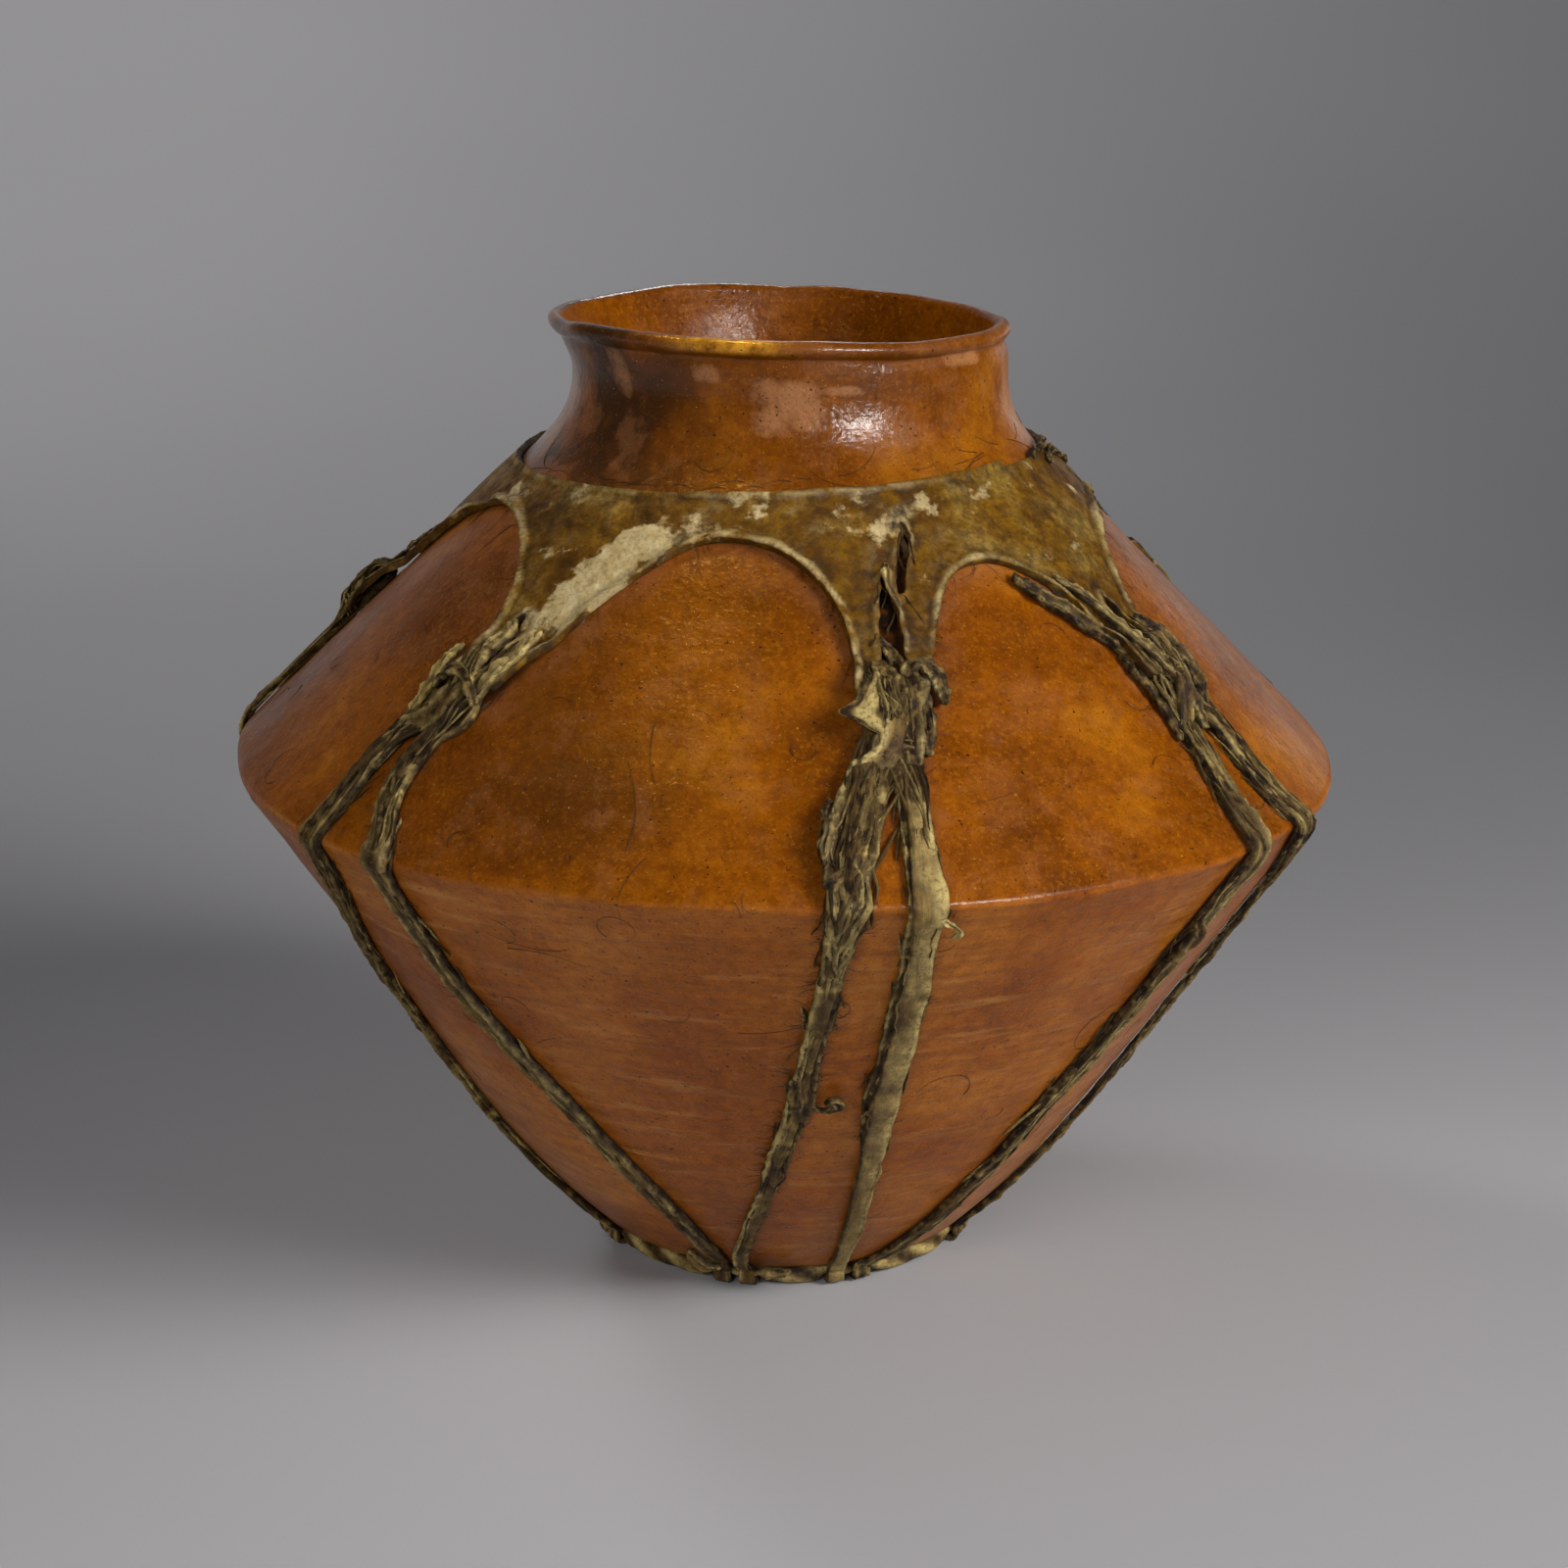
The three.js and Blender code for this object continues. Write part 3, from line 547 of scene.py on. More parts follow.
tabShape = {"tip": 0.497 * slope, "half": 7, "corner": 2.5, "bridge": 7, "slitHalf": 3, "meets": 12}
tabs = [
    {"name": "far_left", "angle": -99, "slit": 16, "lean": 0,
     "arch": [(-93.5, 153), (-90, 161), (-84, 168), (-77, 172.8), (-67.9, 176.2), (-58, 175.6), (-51.5, 172.5),
              (-47.4, 168), (-45.1, 164), (-43.9, 158), (-43.7, 151.5)],
     "left": [(3, -119.9), (60, -116), (117, -107), (146, -102.5)],
     "right": [(3, -70.1), (25, -77), (55, -86), (90, -91.5), (117, -93), (146, -96)]},
    {"name": "left", "angle": -40.3, "slit": 14, "lean": 1,
     "arch": [(-35, 150), (-32.8, 155.3), (-29.7, 162), (-25.3, 167.8), (-20.1, 172.5), (-15, 175.5), (-8.7, 176.3),
              (-1.7, 174.7), (3.2, 171.5), (6.6, 167.3), (8.5, 162.4), (9, 156.5), (8.7, 151.5)],
     "left": [(3, -62), (25, -64.3), (47, -65.3), (72, -62.2), (87, -58.5), (99.5, -54), (109, -51.6),
              (119, -49.9), (133, -48.4), (140, -46.8), (146, -44.2)],
     "right": [(3, -18.5), (9, -17.6), (17, -19.8), (29, -23.2), (40, -27), (52, -31), (61, -34), (70, -36.7),
               (81.5, -39), (91, -40.2), (110, -40.4), (119, -40.4), (126, -42.4), (133, -43), (140, -41.6),
               (146, -39)]},
    {"name": "front", "angle": 12.6, "slit": 39, "lean": 8.5,
     "arch": [(18, 151), (19.8, 156), (22.2, 161.5), (24.6, 166), (28.6, 169.8), (34.5, 171), (39.8, 169.4),
              (45.1, 165), (48.1, 158.5), (49.6, 152)],
     "left": [(3, -10.6), (8, -11.6), (21, -7.6), (32, -4.2), (46, -1.6), (60, 0.8), (80, 2.7), (100, 4.4),
              (117, 5.4), (124, 6.3), (133, 8.2), (146, 10.6)],
     "right": [(3, 15), (23, 14.3), (39, 13.6), (67, 13.2), (87, 13.3), (98, 13.1), (118, 12.8), (124, 13),
               (134, 13.5), (146, 13.9)]},
    {"name": "right", "angle": 54.3, "slit": 15, "lean": 0,
     "arch": [(58.8, 151), (59.6, 156), (61.5, 161.5), (65.5, 166.5), (72.6, 171), (82, 174), (91, 174.5),
              (100, 172.5), (107, 167), (111.5, 160), (113.8, 152)],
     "left": [(3, 23.3), (10, 29.6), (19, 34.8), (29, 37.8), (38, 40.4), (51, 42.2), (60, 44.2), (70, 46.4),
              (82, 48), (94, 48.8), (103, 49), (117, 50.8), (130, 51.8), (146, 52.8)],
     "right": [(3, 65.4), (32, 66.4), (51, 68.4), (62, 69.6), (75, 69.4), (99, 67), (110, 63.4), (117, 60.6),
               (124, 58.9), (134, 58.6), (146, 58)]},
    {"name": "right_back", "angle": 119, "slit": 17, "lean": -1, "crown": 25, "rise": 0.982,
     "left": [(3, 73.6), (55, 96), (117, 113), (146, 116)],
     "right": [(3, 136.9), (55, 132), (117, 125), (146, 122)]},
    {"name": "back", "angle": 166.5, "slit": 18, "lean": 1, "crown": 24, "rise": 1.006,
     "left": [(3, 145.1), (55, 153), (117, 161.5), (146, 163.9)],
     "right": [(3, 185.9), (55, 179), (117, 172.5), (146, 169.5)]},
    {"name": "left_back", "angle": 214, "slit": 15, "lean": 0, "crown": 24, "rise": 0.969,
     "left": [(3, 194.1), (55, 201.5), (117, 209), (146, 211)],
     "right": [(3, 231.9), (55, 227), (117, 220), (146, 217)]},
]


def tabAfter(i):
    turn = 360 if i + 1 == len(tabs) else 0
    return tabs[(i + 1) % len(tabs)]["angle"] + turn


def beside(angle, distance, aside):  # angle reached by going sideways a length round the shoulder
    return angle + math.degrees(aside / wallAt(edgeLength + distance)[0].x)


# fired pot

potMesh = {
    "underside": (3, 9, 18, 27, 33, 36.8, 40.5), "dipRadius": 36.8, "lipTurn": (-72, 189), "lipSteps": 14,
    "belowLip": (0.25, 0.5, 0.72, 0.88), "floor": (30, 20, 10, 3), "floorRise": 0.008,
}


def potProfile():
    dip = p["baseLift"] - p["baseDip"]
    underside = [Vector((r, mix(dip, p["baseLift"], smooth(r, 0, potMesh["dipRadius"])))) for r in potMesh["underside"]]
    lip = []
    for i in range(potMesh["lipSteps"] + 1):
        turn = math.radians(mix(*potMesh["lipTurn"], i / potMesh["lipSteps"]))
        lip.append(Vector((p["throatRadius"] + p["lipFlare"] + p["lipRound"] * math.cos(turn),
                           p["height"] - p["lipRound"] + p["lipRound"] * math.sin(turn))))
    rise = [throatPoint.lerp(lip[0], share) for share in potMesh["belowLip"]]
    inward = Vector((-shoulder.y, shoulder.x)) * p["wall"]
    innerNeck = neckCurve(neckPoint + inward, Vector((p["throatRadius"] - p["neckWall"], throatHeight)), 9)[::-1]
    lower = edgePoint + Vector((-belly.y, belly.x)) * p["wall"]
    innerEdge = lower + belly * (((edgePoint + inward) - lower).cross(shoulder) / belly.cross(shoulder))
    innerShoulder = [innerNeck[-1].lerp(innerEdge, i / 6) for i in range(1, 6)]
    innerWall = lowerWall(Vector((p["baseRadius"] - p["wall"], p["baseLift"] + p["wall"])), innerEdge, 14)[::-1]
    floor = [Vector((r, dip + p["wall"] + r * potMesh["floorRise"])) for r in potMesh["floor"]]
    return underside + outside + rise + lip + innerNeck + innerShoulder + innerWall + floor


def turnedPot():
    profile = potProfile()
    first = profile[0]
    nothingSelected()
    bpy.ops.mesh.primitive_circle_add(vertices=p["segments"], radius=first.x * mm, fill_type="TRIFAN",
                                      location=(0, 0, first.y * mm))
    pot = bpy.context.object
    bpy.ops.object.transform_apply(location=True)
    editing(pot)
    bpy.ops.mesh.select_non_manifold(extend=False)
    for before, after in zip(profile, profile[1:]):  # raised ring by ring, as a coil pot is
        bpy.ops.mesh.extrude_edges_move(TRANSFORM_OT_translate={"value": (0, 0, (after.y - before.y) * mm)})
        grow = after.x / before.x
        bpy.ops.transform.resize(value=(grow, grow, 1), center_override=(0, 0, after.y * mm))
    bpy.ops.mesh.edge_face_add()
    bpy.ops.mesh.poke()
    facingOut()
    return pot


uneven = {  # what the hand left: each pair is a middle and a half width, or where a change starts and ends
    "groove": (211.2, 1.2), "grooveDepth": 0.45, "thickLip": (211.5, 214), "flare": (205, 214),
    "corner": (-96, 32), "cornerOut": 1.1, "cornerDown": 2.0, "swell": (86, 26), "swellOut": 0.6,
    "scrape": 0.10, "lumps": 0.16, "edgeReach": 110, "edgeWide": 3.2, "edgeOut": 0.35, "edgeUp": 0.5,
}
smoke = {  # smoke-darkened clay, a little darker down the left side, and painted shade on the neck, deepest on its left; the two patches are angle, half width, height, half height, strength
    "patches": [(-20, 11, 135, 16, 0.5), (-33, 7, 150, 20, 0.4)], "side": 0.08, "neckFrom": (174, 190),
    "neckRight": 0.27, "neckLeft": 0.73, "inside": -0.22, "mouth": 47.5,
}
scuffSheenPatches = [  # dull pinkish scuffs on the neck, painted lighter as a sheen: angle, height, half width and height, strength
    (-0.5, 201.7, 11, 6.5, 0.85), (-20, 208.4, 4.5, 2.2, 0.85), (51, 210.5, 9, 2.6, 0.8), (-47, 207, 4.5, 5, 0.75),
    (-84, 198, 15, 14, 0.75), (82, 198, 13, 14, 0.75), (14, 205, 9, 1.6, 0.7), (150, 200, 14, 6, 0.75),
    (-140, 196, 9, 8, 0.7),
]


def unevenLip(q, angle, reach):  # a finger line below the lip, a rim thicker in places, pinched out on the left
    strength = max(0.0, 0.45 + 1.5 * noise.noise(Vector((q.x, q.y, 0)) / 24))
    over = smooth(q.z, *uneven["thickLip"]) * (0.2 + 0.9 * noise.noise(Vector((q.x, q.y, 5)) / 15))
    moved = reach - uneven["grooveDepth"] * bell(q.z, *uneven["groove"]) * strength + over
    q = Vector((q.x * moved / reach, q.y * moved / reach, q.z + 0.4 * over))
    corner = bell(angle, *uneven["corner"])
    flare = (uneven["cornerOut"] * corner + uneven["swellOut"] * bell(angle, *uneven["swell"])
             + 0.5 * noise.noise(Vector((q.x, q.y, 40)) / 26))
    top = smooth(q.z, *uneven["flare"])
    grow = 1 + flare * top / math.hypot(q.x, q.y)
    down = uneven["cornerDown"] * corner * top
    return Vector((q.x * grow, q.y * grow, q.z - down + 0.35 * top * wave(angle, 61, 23)))


def unevenWall(q, angle, reach, outer):
    atEdge = reach > uneven["edgeReach"]
    if atEdge:
        step = crisper(Vector((reach, q.z)), angle)
        q += Vector((q.x / reach * step.x, q.y / reach * step.x, step.y))
    if outer and 20 < q.z:
        out = Vector((q.x, q.y, 0)).normalized()
        q += out * uneven["scrape"] * noise.noise(Vector((q.x / 30, q.y / 30, q.z / 2.6)))
        q += out * uneven["lumps"] * noise.noise(q / 11)
    if atEdge:
        pinch = bell(q.z, p["edgeHeight"], uneven["edgeWide"])
        q += Vector((q.x, q.y, 0)).normalized() * pinch * uneven["edgeOut"] * noise.noise(Vector((angle / 9, 3, 0)))
        q.z += pinch * uneven["edgeUp"] * noise.noise(Vector((angle / 13, 8, 0)))
    return q


def smokedAndShadedAt(q, angle, reach, above):
    patches = sum(strength * math.exp(-math.hypot((angle - middle) / wide, (q.z - high) / tall) ** 2)
                  for middle, wide, high, tall, strength in smoke["patches"])
    back = 1 - smooth(-angle, 150, 180)
    side = smooth(-angle, 45, 100) * smooth(q.z, 40, 140) * back
    neck = smooth(q.z, *smoke["neckFrom"]) * (smoke["neckRight"] + smoke["neckLeft"] * smooth(-angle, 8, 46) * back)
    return min(1.0, (patches + smoke["side"] * side) * above
               + (neck if reach > smoke["mouth"] else smoke["inside"] * neck))


def slitDirtAndShadeAt(q, angle, reach):  # dirt and painted shade on the clay that shows through the slits
    distance = lengthAt(q.z) - edgeLength
    dark = 0.0
    for tab in tabs:
        share = (distance - tabShape["tip"]) / (tabShape["bridge"] + tab["slit"])
        aside = math.radians(apart(angle, tab["angle"] + tab["lean"] * clamped(share) ** 2)) * reach
        dark = max(dark, bell(aside, 0, 5.5, 4) * smooth(share, -0.1, 0.1) * (1 - smooth(share, 1.05, 1.2)))
    return dark


def scuffSheenAt(q, angle):
    return max(strength * math.exp(-(apart(angle, middle) / wide) ** 4 - ((q.z - high) / tall) ** 4)
               for middle, high, wide, tall, strength in scuffSheenPatches)


def shapedPot(hideTree):
    pot = turnedPot()
    applied(pot, "SUBSURF", levels=1, render_levels=1)
    upper, halo, smoked, soiled, scuffed, pooled = [], [], [], [], [], []
    for vertex in pot.data.vertices:
        q = vertex.co / mm
        reach = math.hypot(q.x, q.y)
        angle = math.degrees(math.atan2(q.x, -q.y))
        scuffed.append(scuffSheenAt(q, angle) if q.z > 180 and reach > 45 else 0.0)
        # painted golden glint along the front of the lip
        pooled.append(smooth(q.z, 212, 213.6) * bell(angle, -13, 13, 4))
        upper.append(smooth(q.z, p["edgeHeight"] - 0.6, p["edgeHeight"] + 0.8))
        outer = reach > 40 and (q.z > 150 or reach > 60 or q.z < 30)
        if q.z > throatHeight - 6 and reach > p["throatRadius"] - 2.2:
            q = unevenLip(q, angle, reach)
        q = unevenWall(q, angle, reach, outer)
        halo.append(bell(hideTree.find(q)[2], 0, 3.9) if outer else 0.0)
        smoked.append(smokedAndShadedAt(q, angle, reach, upper[-1]))
        soiled.append(slitDirtAndShadeAt(q, angle, reach) if outer and 145 < q.z < 182 else 0.0)
        vertex.co = settle(q) * mm
    painted(pot, {"soiled": soiled, "scuffed": scuffed, "pooled": pooled, "upper": upper, "besideHide": halo,
                  "smoked": smoked})
    finished(pot, "fired_pot", clayFinish, "clay_pot")


# rawhide collar, cut flat, snapped to its outline, then wrapped onto the shoulder

collarShape = {
    "columns": 700, "rowStep": 0.78, "gap": 0.3, "thick": 1.3, "rimThick": 1.95, "clear": 9.2,
    "shift": (-2.2, -0.9), "liftRun": 9, "raised": 2.5, "flatRadius": 86, "rimTo": 1.35,
    "topTo": 97.0, "mostThick": 3,
}
rubbedPlaces = [  # angle, distance up the slope, half length, half width, lean, strength
    (-30.5, 69.5, 17, 5.4, 52, 1.0), (-24, 81, 11, 5, 40, 0.85), (-36, 56, 12, 3.2, 74, 0.8),
    (16, 87, 13, 6, 10, 0.4), (3, 91, 18, 4, 4, 0.36), (33, 91, 16, 5, 0, 0.38), (-12, 94, 16, 2.4, 0, 0.3),
    (-36.2, 52, 8, 2.2, 84, 0.9), (-46.5, 50, 7, 1.6, 90, 0.6),
    (-52, 88, 10, 4, 20, 0.3), (100, 84, 14, 5, 20, 0.42), (178, 86, 16, 6, -10, 0.45),
    (-150, 80, 14, 5, 35, 0.42), (9.5, 44, 6, 2.2, 84, 0.42), (16.4, 47, 8, 1.6, 86, 0.3),
]
grimePlaces = [
    (-47, 85, 5, 7, 60, 0.8), (22.4, 88, 5, 5, 80, 0.5), (30, 91, 14, 3, 0, 0.4), (56, 62, 12, 7, 90, 0.35),
    (83, 88, 10, 6, 60, 0.6), (-40, 47, 7, 6, 90, 0.6), (12.6, 46, 8, 7, 90, 0.5), (54, 46, 7, 6, 90, 0.7),
    (9.5, 52, 10, 2.4, 80, 0.5), (17.6, 60, 10, 2.6, 70, 0.5), (11.5, 68, 8, 3.2, 84, 0.45),
    (36, 68, 24, 13, 0, 0.34), (60, 84, 14, 8, 60, 0.4),
    (130, 90, 10, 5, 0, 0.6), (-120, 88, 10, 6, 0, 0.6), (162, 46, 8, 7, 90, 0.6), (212, 46, 8, 7, 90, 0.6),
]


def inPlaces(places, angle, distance):
    most = 0.0
    for midAngle, midDistance, halfLong, halfWide, lean, strength in places:
        x = math.radians(apart(angle, midAngle)) * wallAt(edgeLength + midDistance)[0].x
        y = distance - midDistance
        turn = math.radians(lean)
        u = (x * math.cos(turn) + y * math.sin(turn)) / halfLong
        v = (-x * math.sin(turn) + y * math.cos(turn)) / halfWide
        most = max(most, strength * math.exp(-(u * u + v * v) ** 1.4 * 0.7))
    return most


def collarTop(angle):  # distance up the slope of the collar's upper edge
    turn = math.radians(angle)
    shift = Vector(collarShape["shift"])
    radius = p["throatRadius"] + collarShape["clear"]
    along = Vector((math.sin(turn), -math.cos(turn))).dot(shift)
    reach = along + math.sqrt(radius ** 2 - shift.length_squared + along ** 2)

    def isBelow(distance):
        point, out = wallAt(edgeLength + distance)
        return point.x + out.x * 1.6 > reach
    return halved(60.0, lengths[-1] - edgeLength, 22, isBelow) + 0.3 * wave(angle, 3, 11) + 0.12 * wave(angle, 4, 4)


def archLine(i):  # round the corner of one tab, over in an arch, and round the next tab's corner
    tab, nextAngle = tabs[i], tabAfter(i)
    tip, half, corner = tabShape["tip"], tabShape["half"], tabShape["corner"]
    foot, steps = tip + corner, 90
    side = beside(0, foot, half)
    start, stop = tab["angle"] + side, nextAngle - side

    def roundCorner(middle, way):
        turns = [math.radians(90 * k / 6) for k in range(7)]
        return [(beside(middle, tip, way * (half - corner + corner * math.sin(turn))), foot - corner * math.cos(turn))
                for turn in turns]

    over = []
    if "arch" in tab:  # measured where the photograph shows it
        marks = [(start, foot)] + [(a, lengthAt(h) - edgeLength) for a, h in tab["arch"]] + [(stop, foot)]
        curves = [[(k, mark[j]) for k, mark in enumerate(marks)] for j in (0, 1)]
        for k in range(1, steps):
            over.append(tuple(through(curve, (len(marks) - 1) * k / steps) for curve in curves))
    else:
        crown = tab["angle"] + tab["crown"]
        for k in range(1, steps):
            turn = math.pi * k / steps
            reach = crown - start if k < steps / 2 else stop - crown
            over.append((crown - reach * math.cos(turn), mix(foot, tab["rise"] * slope, math.sin(turn))))
    line = roundCorner(tab["angle"], 1) + over + roundCorner(nextAngle, -1)[::-1]
    worn = []
    for k, (angle, distance) in enumerate(line):
        off = 0.3 * wave(k, 20 + i, 7) + 0.18 * wave(k, 40 + i, 2.3)
        worn.append((beside(angle, distance, off * math.cos(k / len(line) * math.pi)), distance + 0.4 * off))
    return worn


frontSlits = [  # two cuts that run past each other, as (angle, height)
    [(11.0, 150.9), (11.7, 152.8), (12.9, 155.6), (13.1, 160.5), (14.4, 165.4), (15.3, 169.4), (15.9, 170.6),
     (16.5, 168.3), (16.6, 164.4), (16.6, 160.3), (16.3, 156), (15.0, 150.9)],
    [(17.5, 166.4), (17.9, 170.0), (19.3, 173.6), (20.9, 176.8), (21.8, 178.8), (22.6, 178.4), (22.4, 176.2),
     (21.0, 172.8), (19.6, 169.8), (18.4, 166.6)],
]


def slitLines(i):
    tab = tabs[i]
    if tab["name"] == "front":
        cuts = []
        for cut in frontSlits:
            line = densely([(angle, lengthAt(height) - edgeLength) for angle, height in cut + cut[:1]], 1.0)[:-1]
            line = [(a + 0.25 * wave(k, 71, 2.1), d + 0.2 * wave(k, 72, 2.3)) for k, (a, d) in enumerate(line)]
            cuts.append(line + line[:1])
        return cuts
    foot = tabShape["tip"] + tabShape["bridge"]
    left, right = [], []
    for k in range(25):
        share = k / 24
        half = max(0.05, tabShape["slitHalf"] * (1 - share ** 2) * (1 + 0.22 * wave(k, i + 5, 2.4)))
        distance = foot + tab["slit"] * share
        aside = math.radians(tab["lean"] * share ** 2) * wallAt(edgeLength + distance)[0].x
        left.append((beside(tab["angle"], distance, aside - half), distance))
        right.append((beside(tab["angle"], distance, aside + half), distance))
    return [[left[0]] + right + left[::-1]]


def inside(outline, angle, distance):
    hit = False
    for (x1, y1), (x2, y2) in zip(outline, outline[1:] + outline[:1]):
        if (y1 > distance) != (y2 > distance) and angle < (x2 - x1) * (distance - y1) / (y2 - y1) + x1:
            hit = not hit
    return hit


def densely(line, step):
    points = []
    for (a0, d0), (a1, d1) in zip(line, line[1:]):
        run = math.hypot(math.radians(a1 - a0) * collarShape["flatRadius"], d1 - d0)
        count = max(1, int(run / step))
        points += [(mix(a0, a1, k / count), mix(d0, d1, k / count)) for k in range(count)]
    return points + [line[-1]]


def hideLift(distance):  # how far the collar stands off the clay, more where a strap goes under it
    foot = tabShape["tip"] + tabShape["bridge"]
    return mix(collarShape["raised"], collarShape["gap"], smooth(distance, foot, foot + collarShape["liftRun"]))


def cutCollar(start, arches, slits, tree):  # a flat grid, cut to the outline of the hide
    flat, low, high = collarShape["flatRadius"], tabShape["tip"], collarShape["topTo"]
    nothingSelected()
    bpy.ops.mesh.primitive_grid_add(x_subdivisions=collarShape["columns"],
                                    y_subdivisions=int((high - low) / collarShape["rowStep"]), size=2)
    collar = bpy.context.object
    mesh = collar.data
    for vertex in mesh.vertices:
        angle = start + 180 * (vertex.co.x + 1)
        vertex.co = (math.radians(angle) * flat, mix(low, high, (vertex.co.y + 1) / 2), 0)
    holes = []  # each with its box, which is quick to try first
    for shape in [arch + [(arch[-1][0], low - 4), (arch[0][0], low - 4)] for arch in arches] + slits:
        for turn in (-360, 0, 360):
            moved = [(a + turn, d) for a, d in shape]
            holes.append((min(moved)[0], max(moved)[0], max(d for _, d in moved), moved))
    editing(collar, "FACE")
    bpy.ops.object.mode_set(mode="OBJECT")
    for face in mesh.polygons:
        a, d = math.degrees(face.center.x / flat), face.center.y
        face.select = d > collarTop(a) or any(first <= a <= last and d <= top and inside(shape, a, d)
                                              for first, last, top, shape in holes)
    bpy.ops.object.mode_set(mode="EDIT")
    bpy.ops.mesh.delete(type="FACE")
    bpy.ops.mesh.select_mode(type="VERT")
    bpy.ops.mesh.select_all(action="DESELECT")
    bpy.ops.mesh.select_non_manifold(extend=False)
    bpy.ops.object.mode_set(mode="OBJECT")
    seam = (math.radians(start) * flat, math.radians(start + 360) * flat)
    for vertex in mesh.vertices:  # the torn steps of the grid are pulled onto the cut line
        if vertex.select and min(abs(vertex.co.x - seam[0]), abs(vertex.co.x - seam[1])) > 1e-3:
            place, _, away = tree.find(vertex.co)
            if away < 1.6:
                vertex.co = place
    bpy.ops.object.mode_set(mode="EDIT")
    bpy.ops.mesh.select_all(action="INVERT")
    bpy.ops.mesh.vertices_smooth(factor=0.4, repeat=3)
    bpy.ops.object.mode_set(mode="OBJECT")
    return collar


def wrappedCollar():
    flat, low = collarShape["flatRadius"], tabShape["tip"]
    start = tabs[0]["angle"] - 30  # the seam lies in the arch before the first tab
    arches = [archLine(i) for i in range(len(tabs))]
    slits = [slit for i in range(len(tabs)) for slit in slitLines(i)]
    tops = [(start + 360 * k / 720, collarTop(start + 360 * k / 720)) for k in range(721)]
    tabHalf = beside(0, low, tabShape["half"] - tabShape["corner"])
    tips = [[(tab["angle"] - tabHalf, low), (tab["angle"] + tabHalf, low)] for tab in tabs]
    rolled = []  # how far each kind of edge has rolled up, and its points
    for roll, step, edges in ((1.0, 0.2, arches), (0.36, 0.25, [tops]), (0.4, 0.2, slits), (0.8, 0.25, tips)):
        rolled += [(roll, densely(edge, step)) for edge in edges]
    spots = [(a + turn, d, roll) for roll, line in rolled for a, d in line for turn in (-360, 0, 360)
             if start - 8 < a + turn < start + 368]
    tree = treeOf([(math.radians(a) * flat, d, 0) for a, d, _ in spots])

    collar = cutCollar(start, arches, slits, tree)
    mesh = collar.data
    group = collar.vertex_groups.new(name="thickness")
    rim, rubbed, grime = [], [], []
    for vertex in mesh.vertices:
        x, d = vertex.co.x, vertex.co.y
        angle = math.degrees(x / flat)
        _, nearest, away = tree.find((x, d, 0))
        away *= mix(1.0, wallAt(edgeLength + d)[0].x / flat, 0.7)
        ragged = 0.62 + 0.6 * wave(x, 2, 8) + 0.35 * wave(d, 6, 5)
        kind = spots[nearest][2]
        wide = collarShape["rimTo"] * max(0.45, ragged + 0.35) * mix(0.4, 1.0, kind)
        roll = 1 - smooth(away, wide - 0.6, wide + 0.5)
        thick = mix(collarShape["thick"], collarShape["rimThick"], roll * kind * clamped(ragged, 1.3))
        thick -= 0.3 * bell(away, wide + 1.0, 0.8)
        place = Vector((x, d, 0))
        thick += 0.16 * noise.noise(place / 2.6) + (0.3 * kind * noise.noise(place / 1.1) if away < 3 else 0)
        group.add([vertex.index], max(0.25, min(1.0, thick / collarShape["mostThick"])), "REPLACE")
        rim.append(roll * mix(0.5, 1.0, kind) * max(0.25, min(1.0, ragged + 0.3)) * smooth(away, 0.0, 0.35))
        rubbed.append(inPlaces(rubbedPlaces, angle, d))
        # dirt along the cut edges, and painted shade in the groove inside the rolled rim
        edgeDirtAndShade = 0.8 * bell(away, 0, 0.9) * (1 if d < 60 else 0.3) + 0.55 * bell(away, wide + 0.9, 0.8)
        grime.append(min(1.0, inPlaces(grimePlaces, angle, d) + edgeDirtAndShade))
        lift = hideLift(d) + 0.3 * max(0.0, noise.noise(Vector((x, d, 7)) / 8))
        lift += 0.3 * max(0.0, noise.noise(Vector((x, d, 17)) / 3.5)) * (1 - smooth(away, 1, 5))
        vertex.co = settle(onWall(edgeLength + d, angle, lift)) * mm
    painted(collar, {"rim": rim, "rubbed": rubbed, "grime": grime})
    editing(collar, action="SELECT")
    bpy.ops.mesh.remove_doubles(threshold=0.02 * mm)
    facingOut()
    top = max(mesh.polygons, key=lambda face: face.center.z)
    if top.normal.dot(Vector((top.center.x, top.center.y, 0.05))) < 0:
        editing(collar, action="SELECT")
        bpy.ops.mesh.flip_normals()
        bpy.ops.object.mode_set(mode="OBJECT")
    applied(collar, "SOLIDIFY", thickness=collarShape["mostThick"] * mm, offset=1.0, vertex_group="thickness",
            use_even_offset=False)
    applied(collar, "BEVEL", width=0.42 * mm, segments=2, limit_method="ANGLE", angle_limit=math.radians(55))
    finished(collar, "hide_collar", collarFinish, "rawhide_collar", 65)


# thongs: a flat strip with rolled edges, drawn along its stations

